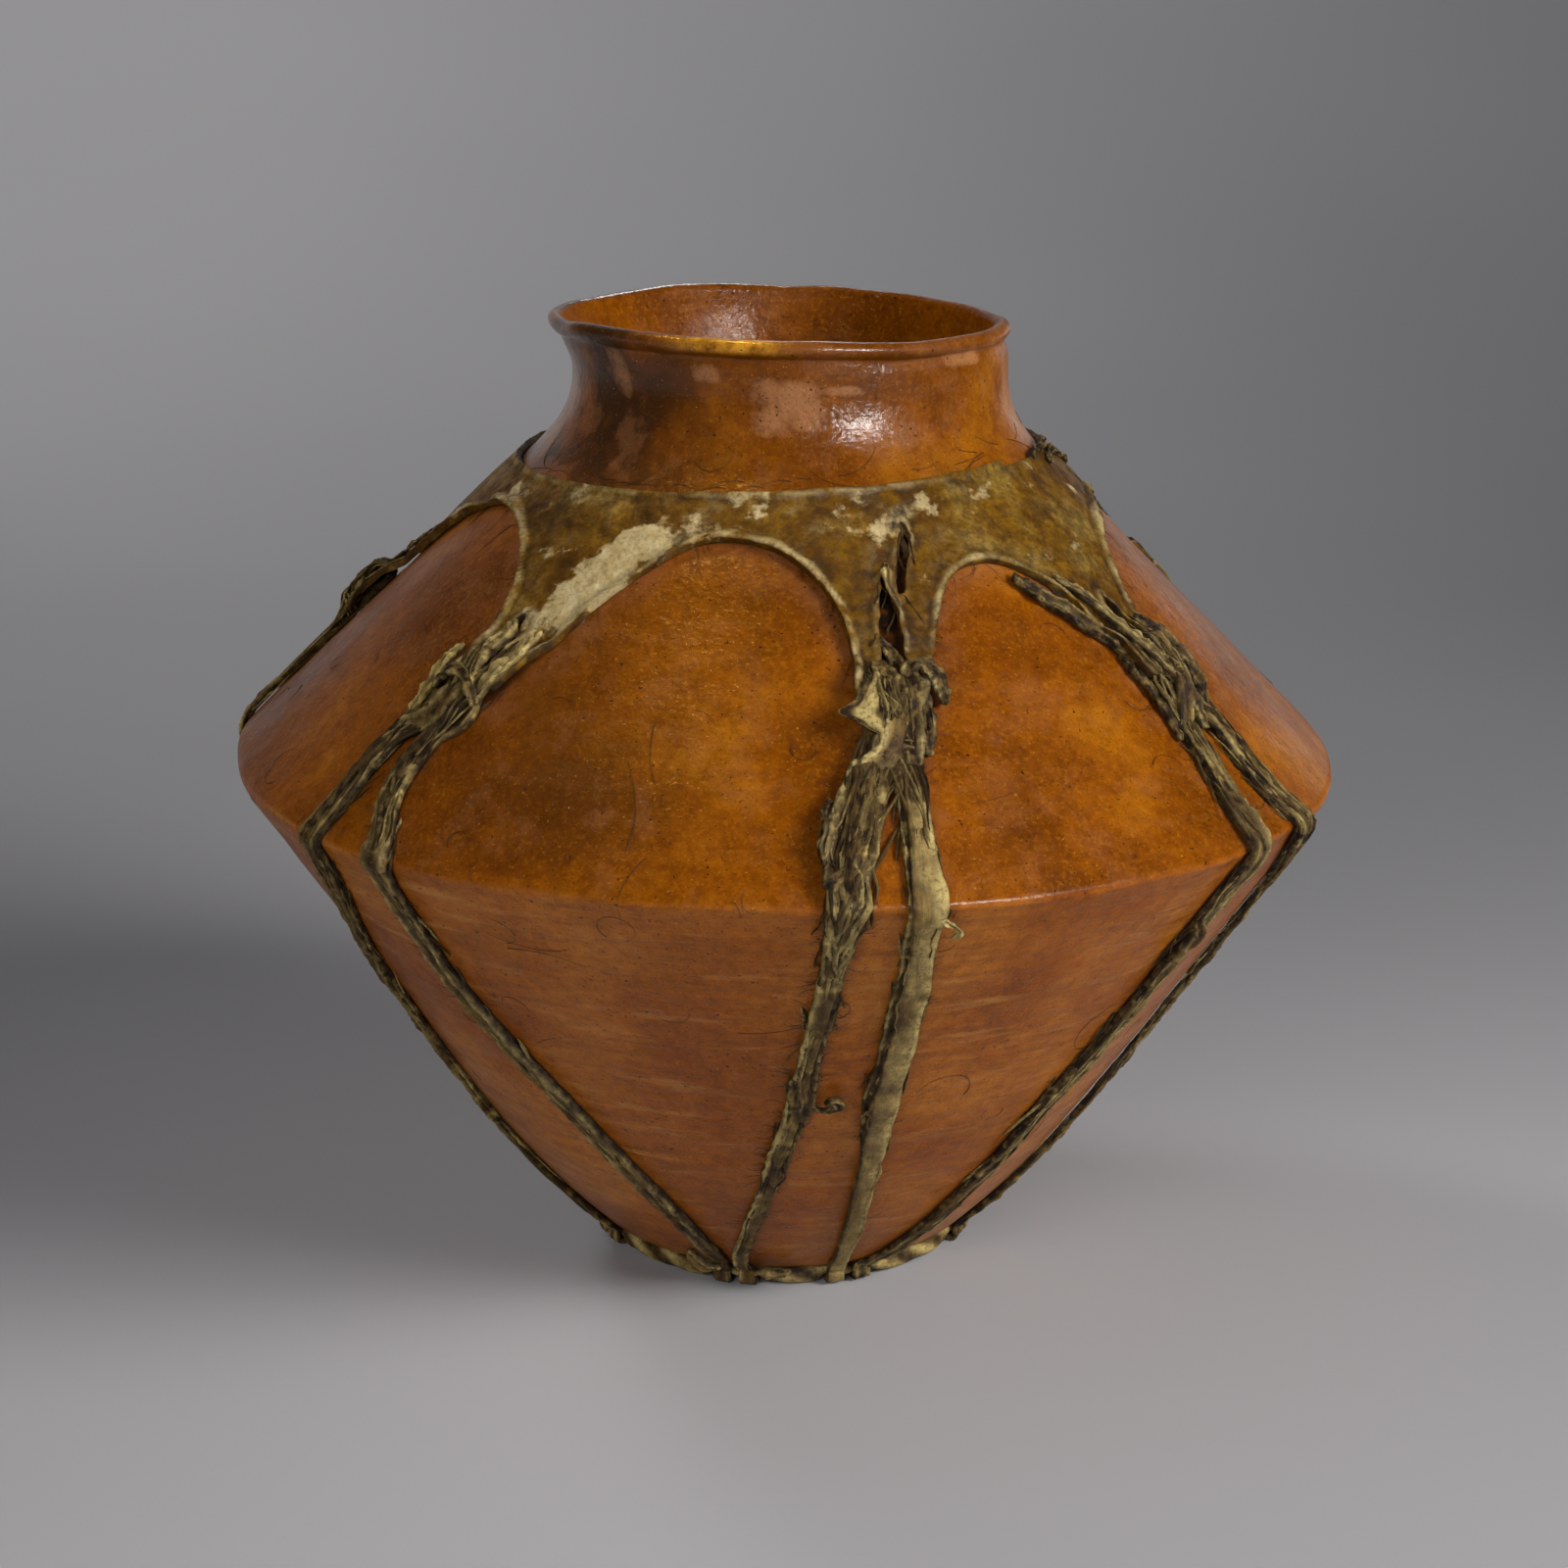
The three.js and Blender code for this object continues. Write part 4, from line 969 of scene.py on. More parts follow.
thongShape = {
    "thick": 1.8, "width": 5.2, "edgeSpread": 1.22, "footThick": 1.4, "footWidth": 4.2, "step": 0.8, "gap": 0.3,
    # across the strip from its right edge: place as a share of the width, height as a share of the
    # thickness, how pale, how dark (dirt, and on the flat ribbon's left edge painted shade)
    "face": [(0.485, 0.36, 0.8, 0.3), (0.4, 0.54, 1.0, 0.0), (0.22, 0.45, 0.25, 0.2), (0.0, 0.36, 0.0, 0.5),
             (-0.2, 0.42, 0.2, 0.25), (-0.38, 0.54, 1.0, 0.0), (-0.485, 0.36, 0.8, 0.3)],
    "flatFace": [(0.475, 0.36, 0.7, 0.35), (0.42, 0.46, 0.9, 0.0), (0.22, 0.5, 0.6, 0.05), (0.0, 0.48, 0.45, 0.12),
                 (-0.2, 0.5, 0.6, 0.05), (-0.42, 0.46, 0.7, 0.05), (-0.475, 0.36, 0.2, 0.7)],
    "relief": 0.4, "fibreWide": 0.75, "fibreLong": 9,
}
measuredWidth = {  # at each height up the two straps that the photograph shows best
    ("front", "right"): [(3, 4.0), (30, 4.6), (60, 5.9), (92, 6.1), (106, 5.3), (113, 6.0), (118, 7.2), (124, 5.6),
                         (130, 4.7), (147, 4.5)],
    ("front", "left"): [(3, 3.5), (20, 3.5), (44, 3.5), (60, 4.1), (75, 3.6), (95, 4.2), (105, 5.5), (112, 6.6),
                        (117, 8.0), (124, 8.6), (132, 8.2), (142, 7.4), (147, 6.0)],
}
ringShape = {"radius": 41.4, "width": 5.2, "height": 4.1, "inside": 37.1}


def station(length, angle, lift, width, thick=None):
    return {"middle": onWall(length, angle, lift), "across": onCircle(1, angle + 90, 0),
            "width": width, "thick": thick or thongShape["thick"]}


def hitched(angle):  # from inside the ring, under it, and up the outside
    gap, thick = thongShape["gap"], thongShape["footThick"]
    inner = ringShape["inside"] + thick / 2
    outer = ringShape["radius"] + ringShape["width"] / 2 + gap + thick / 2
    low = gap + thick / 2
    nick = low * 0.293
    places = [(inner, ringShape["height"] - gap), (inner, 2 * low), (inner + nick, low + nick), (inner + low, low),
              (outer - low, low), (outer - nick, low + nick), (outer, 2 * low), (outer, ringShape["height"])]
    return [{"middle": onCircle(r, angle, z), "across": onCircle(1, angle + 90, 0),
             "width": thongShape["footWidth"], "thick": thick} for r, z in places]


def spanWidth(tab, side, height):
    if (tab["name"], side) in measuredWidth:
        width = through(measuredWidth[tab["name"], side], height)
    else:
        width = mix(thongShape["footWidth"], thongShape["width"], smooth(height, 4, 70))
        width *= mix(1.0, thongShape["edgeSpread"], bell(height, p["edgeHeight"], 9))
    return width * (1 + 0.13 * wave(height, tab["angle"] + len(side), 8))


def span(tab, side):
    top = edgeLength + tabShape["tip"] - tabShape["meets"]
    count = int(top / thongShape["step"])
    run = []
    for k in range(2, count + 1):
        length = top * k / count
        height = wallAt(length)[0].y
        thick = mix(thongShape["footThick"], thongShape["thick"], smooth(length, 0, edgeLength / 3))
        thick *= 1 + 0.16 * wave(length, tab["angle"] * 0.3 + len(side), 6)
        run.append(station(length, through(tab[side], height), thongShape["gap"] + thick / 2,
                           spanWidth(tab, side, height), thick))
    return hitched(through(tab[side], 3)) + run


def rounded(stations, step):  # a smooth curve through the stations, in even short steps
    fine = []
    for i, (a, b) in enumerate(zip(stations, stations[1:])):
        start, end = a["middle"], b["middle"]
        run = (end - start).length
        pull = (end - stations[i - 1]["middle"]) * 0.5 if i else end - start
        pullEnd = (stations[i + 2]["middle"] - start) * 0.5 if i + 2 < len(stations) else end - start
        pull, pullEnd = pull.normalized() * run, pullEnd.normalized() * run
        count = max(1, round(run / step))
        for k in range(count):
            t = k / count
            fine.append({"middle": hermite(start, pull, end, pullEnd, t),
                         "across": a["across"].lerp(b["across"], t).normalized(),
                         "width": mix(a["width"], b["width"], t), "thick": mix(a["thick"], b["thick"], t)})
    return fine + [stations[-1]]


def relieved(piece, seed, much=1.0):  # raised fibres along the strip, with lumps and cracks
    mesh = piece.data
    layers = []
    for name in ("across", "along", "top"):
        values = [0.0] * len(mesh.vertices)
        mesh.attributes[name].data.foreach_get("value", values)
        layers.append(values)
    wide, far = thongShape["fibreWide"], thongShape["fibreLong"]
    normals = [vertex.normal.copy() for vertex in mesh.vertices]
    proud = []
    for vertex, normal, a, b, share in zip(mesh.vertices, normals, *layers):
        coarse = 1 - 2.6 * abs(noise.noise(Vector((a / wide, b / far, seed))))
        fine = 1 - 2.6 * abs(noise.noise(Vector((a / wide * 2.1, b / far * 1.8, seed + 9))))
        lump = noise.noise(vertex.co / mm / 2.6) + 0.5 * noise.noise(vertex.co / mm / 1.1)
        height = 0.42 * coarse + 0.2 * fine + 0.75 * lump
        vertex.co += normal * (thongShape["relief"] * much * share * (height - 0.2) * mm)
        # how proud each point stands; the finish paints the sunken ones darker as shade
        proud.append(clamped(0.5 + 0.5 * height))
    painted(piece, {"relief": proud})
    for name in ("across", "along", "top"):
        mesh.attributes.remove(mesh.attributes[name])


def thong(name, stations, seed, step=None, rough=1.0, pale=None, darkening=0.0, light=0.0, flat=None):
    run = rounded(stations, step or thongShape["step"])
    face = thongShape["face"]
    turns = [(0.5, 0.0, 1, None)] + [(x, h, 1, k) for k, (x, h, _, _) in enumerate(face)]
    turns += [(-0.5, 0.0, -1, None)] + [(x, h, -1, k) for k, (x, h, _, _) in reversed(list(enumerate(face)))]
    sides, last = len(turns), len(run) - 1
    nothingSelected()
    bpy.ops.mesh.primitive_grid_add(x_subdivisions=sides, y_subdivisions=last, size=1)
    piece = bpy.context.object
    marks = [0.0]
    for a, b in zip(run, run[1:]):
        marks.append(marks[-1] + (b["middle"] - a["middle"]).length)
    frames = []
    for k, here in enumerate(run):
        forward = (run[min(last, k + 1)]["middle"] - run[max(0, k - 1)]["middle"]).normalized()
        side = (here["across"] - forward * here["across"].dot(forward)).normalized()
        out = forward.cross(side)
        middle = here["middle"]
        frames.append((side, out, smooth(out.dot(Vector((middle.x, middle.y, 0)).normalized()), -0.45, 0.45)))
    layers = {"ridge": [], "grime": [], "across": [], "along": [], "top": []}
    for vertex in piece.data.vertices:
        i = round((vertex.co.x + 0.5) * sides) % sides
        k = round((vertex.co.y + 0.5) * last)
        here, mark = run[k], marks[k]
        side, out, shown = frames[k]
        x, high, way, spot = turns[i]
        plain = flat(mark / marks[-1]) if flat else 0.0  # 1 where the strip is a clean flat ribbon
        jagged = rough * (1 - 0.65 * plain)
        bright, darkness, seen = 0.25, 0.75, 0.5
        if spot is not None:
            x, high, brightness, faceDarkness = (mix(a, b, plain)
                                              for a, b in zip(face[spot], thongShape["flatFace"][spot]))
            seen = shown if way > 0 else 1 - shown
            fold = 1 + 0.3 * jagged * wave(mark, seed + (2 if x > 0 else 3), 7)
            fold *= 1 + 0.14 * jagged * wave(mark, seed + 5 + spot, 2.4)
            high = mix(0.5, mix(high, 0.45, 0.25) * fold, seen)
            # the lit edge is painted pale as a highlight and the other edge dark as shade; faces turned to the clay are
            # painted dark as shade
            lean = (pale(mark / marks[-1]) if pale else 0) * x * 2
            bright = (light + brightness) * max(0.0, 0.75 + 0.7 * wave(mark, seed + 8 + (x > 0), 10) + lean) * seen
            darkness = mix(1.0, faceDarkness + max(0.0, -lean) * 0.8 + 0.3 * max(0.0, wave(mark, seed + 50, 6)), seen)
        x *= 1 + 0.07 * jagged * wave(mark, seed + 20 + i, 2.2) + 0.06 * jagged * wave(mark, seed + 21 + i, 0.9)
        x += 0.04 * wave(mark, seed + 1, 9)
        point = here["middle"] + side * (x * here["width"]) + out * (way * high * here["thick"])
        vertex.co = settle(point) * mm
        for layer, value in zip(layers.values(), (
                min(1.0, bright), clamped(darkness + darkening), i * here["width"] * 2.6 / sides, mark,
                seen * (1 - 0.6 * plain) if spot is not None else 0.5)):
            layer.append(value)
    girth = 2 * (run[last // 2]["width"] + run[last // 2]["thick"]) * mm
    spread(piece, lambda u, v: (u * girth + seed * 0.013, v * marks[-1] * mm))
    painted(piece, layers)
    editing(piece, action="SELECT")
    bpy.ops.mesh.remove_doubles(threshold=0.01 * mm)
    bpy.ops.mesh.select_all(action="DESELECT")
    bpy.ops.mesh.select_non_manifold(extend=False)
    bpy.ops.mesh.fill_holes(sides=0)
    facingOut()
    applied(piece, "SUBSURF", levels=1, render_levels=1)
    relieved(piece, seed, rough)
    return piece


def laceLoop(tab):
    gap, thick = thongShape["gap"], thongShape["thick"]
    low = past = gap + thick / 2
    high = collarShape["raised"] + collarShape["thick"] + gap + thick / 2 + 0.3
    width = 2 * tabShape["slitHalf"] - 4 * gap
    tip, meets, middle = tabShape["tip"], tabShape["meets"], tab["angle"]
    foot = tip + tabShape["bridge"]
    left, right = through(tab["left"], 146), through(tab["right"], 146)
    over = [  # distance up the slope, angle and lift, over the bridge, in through the slit and back under
        (tip - meets * 0.65, mix(left, middle, 0.35), mix(low, high, 0.55)),
        (tip - meets / 3, mix(left, middle, 0.75), high), (tip, middle, high), (foot, middle, high),
        (foot + past * 0.71, middle, high - past * 0.29), (foot + past, middle, high - past),
        (foot + past, middle, low + past), (foot + past * 0.71, middle, low + past * 0.29), (foot, middle, low),
        (tip, middle, low), (tip - meets / 2, mix(right, middle, 0.35), low),
    ]
    return (span(tab, "left") + [station(edgeLength + distance, angle, lift, width) for distance, angle, lift in over]
            + span(tab, "right")[::-1])


# ring of twisted hide under the base

def twistedRing():
    nothingSelected()
    bpy.ops.mesh.primitive_torus_add(major_radius=1, minor_radius=0.1, major_segments=300, minor_segments=16)
    ring = bpy.context.object
    meets = [through(tab[side], 3) for tab in tabs for side in ("left", "right")]
    ridge, grime = [], []
    for vertex in ring.data.vertices:
        q = vertex.co
        angle = math.degrees(math.atan2(q.x, -q.y))
        turn = math.atan2(q.z, math.hypot(q.x, q.y) - 1)
        twist = math.cos(2 * turn + math.radians(angle) * 22)
        swell = 1 + 0.10 * twist + 0.10 * noise.noise(Vector((angle / 5, turn, 0)))
        floorHeight = 2.0 * max(bell(apart(angle, m), 0, 4.2, 4) for m in meets)  # lifted over each hitch
        half = (ringShape["height"] - floorHeight) / 2
        x, z = (math.copysign(abs(part) ** 0.8, part) for part in (math.cos(turn), math.sin(turn)))
        x *= ringShape["width"] / 2 * min(1.0, swell * 0.95)
        z *= half * min(1.0, swell * 0.97)
        point = onCircle(ringShape["radius"] + x, angle, floorHeight + half + z)
        point.z = max(point.z, 0.0)
        vertex.co = point * mm
        # paler on the crests of the twist and darker in its grooves
        ridge.append(max(0.0, 0.5 + 0.5 * twist))
        grime.append(0.55 - 0.4 * twist)
    painted(ring, {"ridge": ridge, "grime": grime, "relief": [0.35 + 0.5 * value for value in ridge]})
    spread(ring, lambda u, v: (v * 15 * mm, u * tau * ringShape["radius"] * mm))
    finished(ring, "twisted_ring", thongFinish, "base_ring")


# loose ends, wraps and torn flaps at the tabs; a route is (angle, height, lift, width, thickness)

def routed(route, lean=0.0):
    stations = []
    for k, (angle, height, lift, width, thick) in enumerate(route):
        here = station(lengthAt(height), angle, lift, width, thick)
        before, after = route[max(0, k - 1)], route[min(len(route) - 1, k + 1)]
        a = onWall(lengthAt(before[1]), before[0], before[2])
        b = onWall(lengthAt(after[1]), after[0], after[2])
        here["across"] = (b - a).cross(outOf(lengthAt(height), angle)).normalized()
        stations.append(here)
    return stations


looseEnds = {
    "tucked_end": {"node": "tucked_lace_end", "route": [
        (38.9, 167.6, 1.0, 1.8, 1.3), (40.4, 165.6, 1.3, 2.8, 1.8), (42.4, 163.2, 1.4, 3.6, 2.0),
        (45.0, 160.2, 1.4, 3.7, 2.0),
        (47.4, 157.0, 1.3, 3.3, 1.9), (49.6, 154.2, 1.3, 2.9, 1.7), (51.0, 151.2, 1.2, 2.4, 1.5),
        (51.5, 147.6, 1.1, 1.8, 1.1),
        (51.4, 144.6, 0.9, 1.2, 0.9)]},
    "spliced_end": {"node": "spliced_lace_end", "route": [
        (8.6, 139, 2.6, 4.4, 1.0), (7.4, 135, 2.9, 6.4, 1.4), (6.2, 131.5, 3.0, 7.4, 1.5), (5.4, 127.5, 2.9, 6.4, 1.4),
        (4.6, 123, 2.7, 4.6, 1.1), (4.0, 119.8, 2.4, 2.6, 0.8)]},
}
knotPieces = {
    "front_wrap_left": [(11.8, 154.6, 3.4, 3.2, 1.2), (12.3, 152.4, 4.8, 4.8, 1.6), (12.7, 149, 5.2, 5.6, 1.8),
                        (12.4, 145.6, 4.9, 5.4, 1.8), (11.4, 142.4, 4.0, 5.6, 1.6), (10.2, 139.6, 3.2, 5.2, 1.3)],
    "front_wrap_right": [(15.6, 154.4, 3.4, 2.6, 1.2), (15.5, 151.6, 4.6, 3.6, 1.5), (15.1, 148.2, 4.9, 4.0, 1.6),
                         (14.6, 144.6, 4.2, 4.2, 1.4), (14.2, 141, 3.2, 4.0, 1.1), (13.9, 138.4, 2.4, 3.4, 0.7)],
    "front_curl": [(14.4, 151.6, 5.3, 1.8, 1.4), (15.8, 153.4, 5.2, 2.6, 1.9), (17.4, 153.6, 4.4, 3.4, 2.2),
                   (18.9, 152.0, 3.2, 3.6, 2.0), (19.5, 149.6, 2.2, 2.8, 1.6), (19.3, 148.2, 1.6, 1.4, 1.2)],
    "front_side_strand": [(16.6, 150.4, 3.0, 1.6, 1.3), (17.0, 147.4, 2.4, 2.4, 1.6), (16.6, 143.6, 1.6, 2.4, 1.3),
                          (16.0, 140.4, 1.0, 1.6, 0.9)],
    "front_mid_strand": [(12.6, 143.4, 3.0, 2.2, 1.0), (12.0, 139, 1.7, 1.8, 1.0), (12.0, 134.6, 1.1, 1.6, 0.9),
                         (11.7, 130, 0.9, 1.1, 0.7), (11.6, 125, 0.8, 0.7, 0.5)],
    "slit_lump": [(13.2, 159.4, 0.8, 1.4, 1.2), (14.4, 157.2, 1.1, 2.6, 1.7), (14.6, 154.8, 1.3, 3.0, 1.8),
                  (14.2, 152.6, 1.5, 2.4, 1.5)],
    "slit_tongue": [(17.3, 164.0, 1.5, 1.2, 0.9), (16.5, 167.2, 1.9, 1.8, 1.0), (16.3, 170.0, 2.2, 1.5, 0.9),
                    (16.8, 172.0, 1.9, 0.8, 0.7)],
    "top_fray": [(68, 185.2, 1.4, 0.9, 0.8), (73, 186.4, 1.8, 1.4, 1.0), (78, 186.4, 1.7, 1.3, 0.9),
                 (83, 187.2, 1.9, 1.5, 1.0),
                 (88, 186.0, 1.6, 1.0, 0.8)],
    "top_fray_low": [(74, 183.6, 2.0, 1.4, 0.9), (80, 184.8, 2.3, 2.2, 1.1), (88, 183.0, 2.1, 2.0, 1.0),
                     (93, 180.0, 1.8, 1.0, 0.8)],
    "splice_under": [(8.9, 137.6, 1.8, 2.4, 1.0), (9.0, 133.6, 1.6, 2.8, 1.3), (8.0, 129, 1.7, 2.6, 1.2),
                     (6.9, 124.4, 1.8, 2.0, 1.0), (6.2, 120.6, 1.6, 1.0, 0.7)],
    "left_right_lobe": [(-35.0, 157.4, 2.2, 1.8, 1.0), (-35.4, 153.8, 3.3, 3.0, 1.3), (-36.2, 150.4, 4.4, 3.4, 1.5),
                        (-37.2, 147.0, 4.8, 3.2, 1.4), (-38.2, 143.4, 3.8, 2.2, 1.1)],
    "left_left_edge": [(-45.4, 152.4, 3.2, 1.4, 0.9), (-45.9, 148.8, 4.2, 2.4, 1.2), (-46.0, 145.0, 4.0, 2.8, 1.3),
                       (-46.6, 140.4, 2.6, 2.2, 1.2)],
    "left_tie": [(-45.0, 144.6, 4.0, 1.6, 1.1), (-43.2, 146.6, 6.0, 2.4, 1.3), (-41.0, 147.2, 6.9, 2.8, 1.4),
                 (-38.8, 145.6, 6.0, 2.4, 1.3), (-37.4, 143.2, 4.0, 1.6, 1.1)],
    "left_slit_twist": [(-40.4, 158.6, 1.6, 1.6, 1.2), (-39.6, 156.4, 2.4, 2.8, 1.7), (-40.3, 153.6, 3.2, 3.2, 1.8),
                        (-40.8, 150.8, 3.9, 2.6, 1.5)],
    "right_rim_strap": [(46.2, 165.6, 2.0, 1.6, 1.0), (49.6, 161.6, 2.3, 2.2, 1.2), (51.2, 156.6, 3.0, 2.5, 1.4),
                        (52.0, 152.0, 4.4, 2.7, 1.5), (52.8, 147.6, 5.4, 2.9, 1.5), (53.8, 143.6, 5.0, 3.1, 1.5),
                        (54.6, 140.2, 3.7, 2.8, 1.4), (54.2, 136.0, 2.7, 2.0, 1.1)],
    "right_dark_fold": [(56.8, 156.0, 2.4, 1.6, 1.0), (58.0, 152.0, 3.4, 2.8, 1.6), (58.8, 147.8, 4.0, 3.6, 2.0),
                        (59.2, 143.6, 3.2, 3.2, 1.8), (58.8, 139.4, 2.0, 1.8, 1.2)],
    "right_fringe": [(49.6, 151.4, 0.8, 1.0, 0.8), (50.0, 148.2, 1.2, 1.8, 1.2), (50.6, 144.4, 1.5, 1.6, 1.2),
                     (50.6, 140.6, 1.2, 2.0, 1.2), (50.2, 136.0, 0.8, 0.9, 0.7)],
    "far_left_wrap": [(-102.6, 146.6, 2.8, 2.6, 1.2), (-100.6, 148.2, 4.4, 3.8, 1.5), (-98.2, 148.0, 5.0, 4.2, 1.6),
                      (-95.8, 146.2, 3.8, 3.4, 1.4), (-94.4, 144.0, 2.6, 2.4, 1.1)],
    "far_left_fill": [(-100.0, 163.0, 1.4, 2.2, 0.9), (-100.6, 159.0, 2.0, 3.4, 1.4), (-101.2, 155.0, 2.5, 4.2, 1.8),
                      (-101.4, 151.0, 2.8, 4.2, 1.9), (-100.8, 147.0, 2.4, 2.8, 1.4)],
    "right_back_wrap": [(115.2, 146.4, 2.8, 2.8, 1.2), (117.2, 148.2, 4.4, 3.8, 1.5), (119.8, 148.0, 5.0, 4.2, 1.6),
                        (122.2, 146.0, 3.8, 3.4, 1.4), (123.4, 143.8, 2.6, 2.4, 1.1)],
    "back_wrap": [(162.9, 146.6, 2.8, 2.8, 1.2), (165.1, 148.2, 4.4, 3.8, 1.5), (167.5, 147.8, 5.0, 4.2, 1.6),
                  (169.9, 146.0, 3.8, 3.4, 1.4), (171.3, 144.0, 2.6, 2.4, 1.1)],
    "left_back_wrap": [(210.4, 146.6, 2.8, 2.8, 1.2), (212.6, 148.2, 4.4, 3.8, 1.5), (215.0, 147.8, 5.0, 4.2, 1.6),
                       (217.4, 146.0, 3.8, 3.4, 1.4), (218.8, 144.0, 2.6, 2.4, 1.1)],
    "pale_hook": [(14.2, 115.4, 1.5, 0.9, 0.7), (15.2, 114.2, 1.7, 0.9, 0.7), (15.9, 112.8, 1.8, 0.8, 0.7),
                  (15.4, 111.4, 1.7, 0.6, 0.6)],
    "splice_lump": [(4.6, 131.2, 2.2, 1.2, 0.9), (3.9, 128.8, 2.3, 2.0, 1.2), (3.6, 126.2, 2.1, 2.2, 1.3),
                    (3.8, 123.4, 1.9, 1.2, 0.9)],
    "splice_frill": [(4.8, 133.6, 2.6, 0.9, 0.7), (3.9, 131.4, 3.2, 1.3, 0.8), (4.2, 128.6, 3.6, 1.1, 0.7),
                     (3.6, 125.8, 3.1, 1.4, 0.8),
                     (3.9, 123.0, 2.5, 0.7, 0.6)],
    "curled_tail": [(3.4, 64.6, 1.0, 1.4, 1.0), (4.6, 63.2, 1.3, 1.2, 1.0), (6.0, 63.8, 1.8, 1.6, 1.2),
                    (7.0, 65.6, 2.0, 2.2, 1.5), (6.2, 67.0, 2.0, 2.0, 1.4), (5.3, 66.0, 2.4, 1.6, 1.3)],
    "side_knot": [(1.2, 73.4, 1.6, 2.2, 1.6), (1.2, 70.2, 2.2, 3.2, 2.0), (1.5, 66.8, 2.2, 3.0, 1.9),
                  (1.4, 63.6, 1.6, 2.0, 1.4)],
    "right_span_fold": [(48.0, 101.6, 1.4, 2.2, 1.4), (48.4, 98.2, 2.2, 3.4, 1.8), (47.8, 94.6, 2.4, 3.6, 1.9),
                        (47.2, 90.8, 1.8, 2.6, 1.5)],
    "foot_nub_left": [(-24.4, 11.6, 1.2, 1.6, 1.2), (-22.4, 9.6, 2.4, 2.8, 1.6), (-20.2, 8.0, 2.8, 3.0, 1.6),
                      (-17.6, 6.8, 2.0, 2.0, 1.2)],
    "foot_nub_right": [(-8.6, 6.0, 1.6, 1.8, 1.2), (-5.4, 7.2, 2.6, 2.8, 1.6), (-1.8, 7.2, 2.8, 3.0, 1.6),
                       (1.8, 6.0, 1.6, 1.8, 1.2)],
}
knotDirt = {
    "front_curl": 0.85, "front_side_strand": 0.8, "slit_lump": 0.8, "front_wrap_left": 0.7, "splice_under": 0.6,
    "front_wrap_right": 0.5, "front_mid_strand": 0.7, "top_fray": 0.8, "top_fray_low": 0.7, "right_dark_fold": 0.8,
    "right_fringe": 0.9, "left_tie": 0.5, "left_slit_twist": 0.2, "splice_lump": 0.85, "splice_frill": 0.6,
    "curled_tail": 0.6, "side_knot": 0.6, "right_span_fold": 0.4, "right_rim_strap": 0.3, "far_left_wrap": 0.4,
    "far_left_fill": 0.7, "foot_nub_right": 0.3,
}
knotLight = {"pale_hook": 0.8, "left_right_lobe": 0.7, "left_left_edge": 0.5, "right_rim_strap": 0.3,
             "left_slit_twist": 0.5}
laceDirt = {"front": 0.05, "left": 0.38, "right": 0.42}  # how dirty each loop is over its whole length
flatPart = {"front": lambda share: smooth(share, 0.54, 0.58)}
litSide = {  # which edge of the strap gets a painted highlight and which painted shade, up the left span and down the right
    "front": lambda share: -0.8 if share < 0.5 else 0.5,
    "right": lambda share: 0.4 if share < 0.5 else 0.0,
}
hideAndShadeStrips = [  # darker hide beside a strap, partly painted shade on the strap's shaded side: tab, side, heights, how far aside, width
    ("front", "right", 52, 137, -3.6, 3.0), ("front", "left", 40, 112, 2.6, 2.6),
    ("left", "right", 20, 118, -2.8, 2.6), ("left", "left", 24, 140, 2.6, 2.4),
    ("right", "left", 12, 128, 2.8, 2.4), ("right", "right", 30, 140, -2.4, 2.2),
    ("right_back", "left", 30, 130, 2.6, 2.4), ("back", "right", 30, 120, -2.6, 2.4),
    ("left_back", "left", 24, 128, 2.6, 2.4), ("far_left", "right", 60, 145, -2.6, 3.0),
]


def hideAndShadeStrip(i, tab, side, low, high, aside, width):
    count = int((high - low) / 2.2)
    run = []
    for k in range(count + 1):
        height = mix(low, high, k / count)
        length = lengthAt(height)
        taper = math.sin(math.pi * max(0.02, k / count)) ** 0.4
        away = aside * (0.8 + 0.25 * wave(height, i + 90, 12))
        angle = through(tab[side], height) + math.degrees(away / wallAt(length)[0].x)
        wide = width * taper * (1 + 0.3 * wave(height, i + 91, 6))
        run.append(station(length, angle, 0.25 + 0.5 * taper, max(0.8, wide), 1.1 * taper))
    return run


# loose fibres of hide: laid along the straps, fringed with dark fibres down one side, partly painted shade, matted at
# the tabs

fibreShape = {"along": 16, "fringe": 70, "atTab": 44, "moreInFront": 60, "ties": 8, "inSlit": 46, "bevel": 0.4,
              "step": 1.4}
# the side of each strap where the dark fringe lies, partly standing in for its shade
darkFringeSide = {("front", "left"): 1, ("front", "right"): -1, ("right", "left"): -1, ("right", "right"): -1,
             ("left", "left"): 1, ("left", "right"): -1}
fibreShare = {("front", "right"): 0.35}  # this strap is a clean flat ribbon
matted = [("front", "left", 98, 147, 80), ("left", "left", 112, 148, 24), ("left", "right", 116, 148, 26),
          ("right", "left", 92, 148, 24), ("right", "right", 92, 148, 26)]
spliceMarks = [[(place[1], place[k]) for place in looseEnds["spliced_end"]["route"][::-1]] for k in (0, 2, 3, 4)]


def spliceTop(top, angle, height):  # the flat spliced end lies over the strap
    if not 118 < height < 141:
        return top
    middle, lift, width, thick = (through(marks, height) for marks in spliceMarks)
    aside = math.radians(angle - middle) * wallAt(lengthAt(height))[0].x
    over = bell(aside, 0, width * 0.52, 6) * smooth(height, 118.5, 121) * (1 - smooth(height, 138.5, 140.5))
    return mix(top, max(top, lift + thick * 0.46), over)


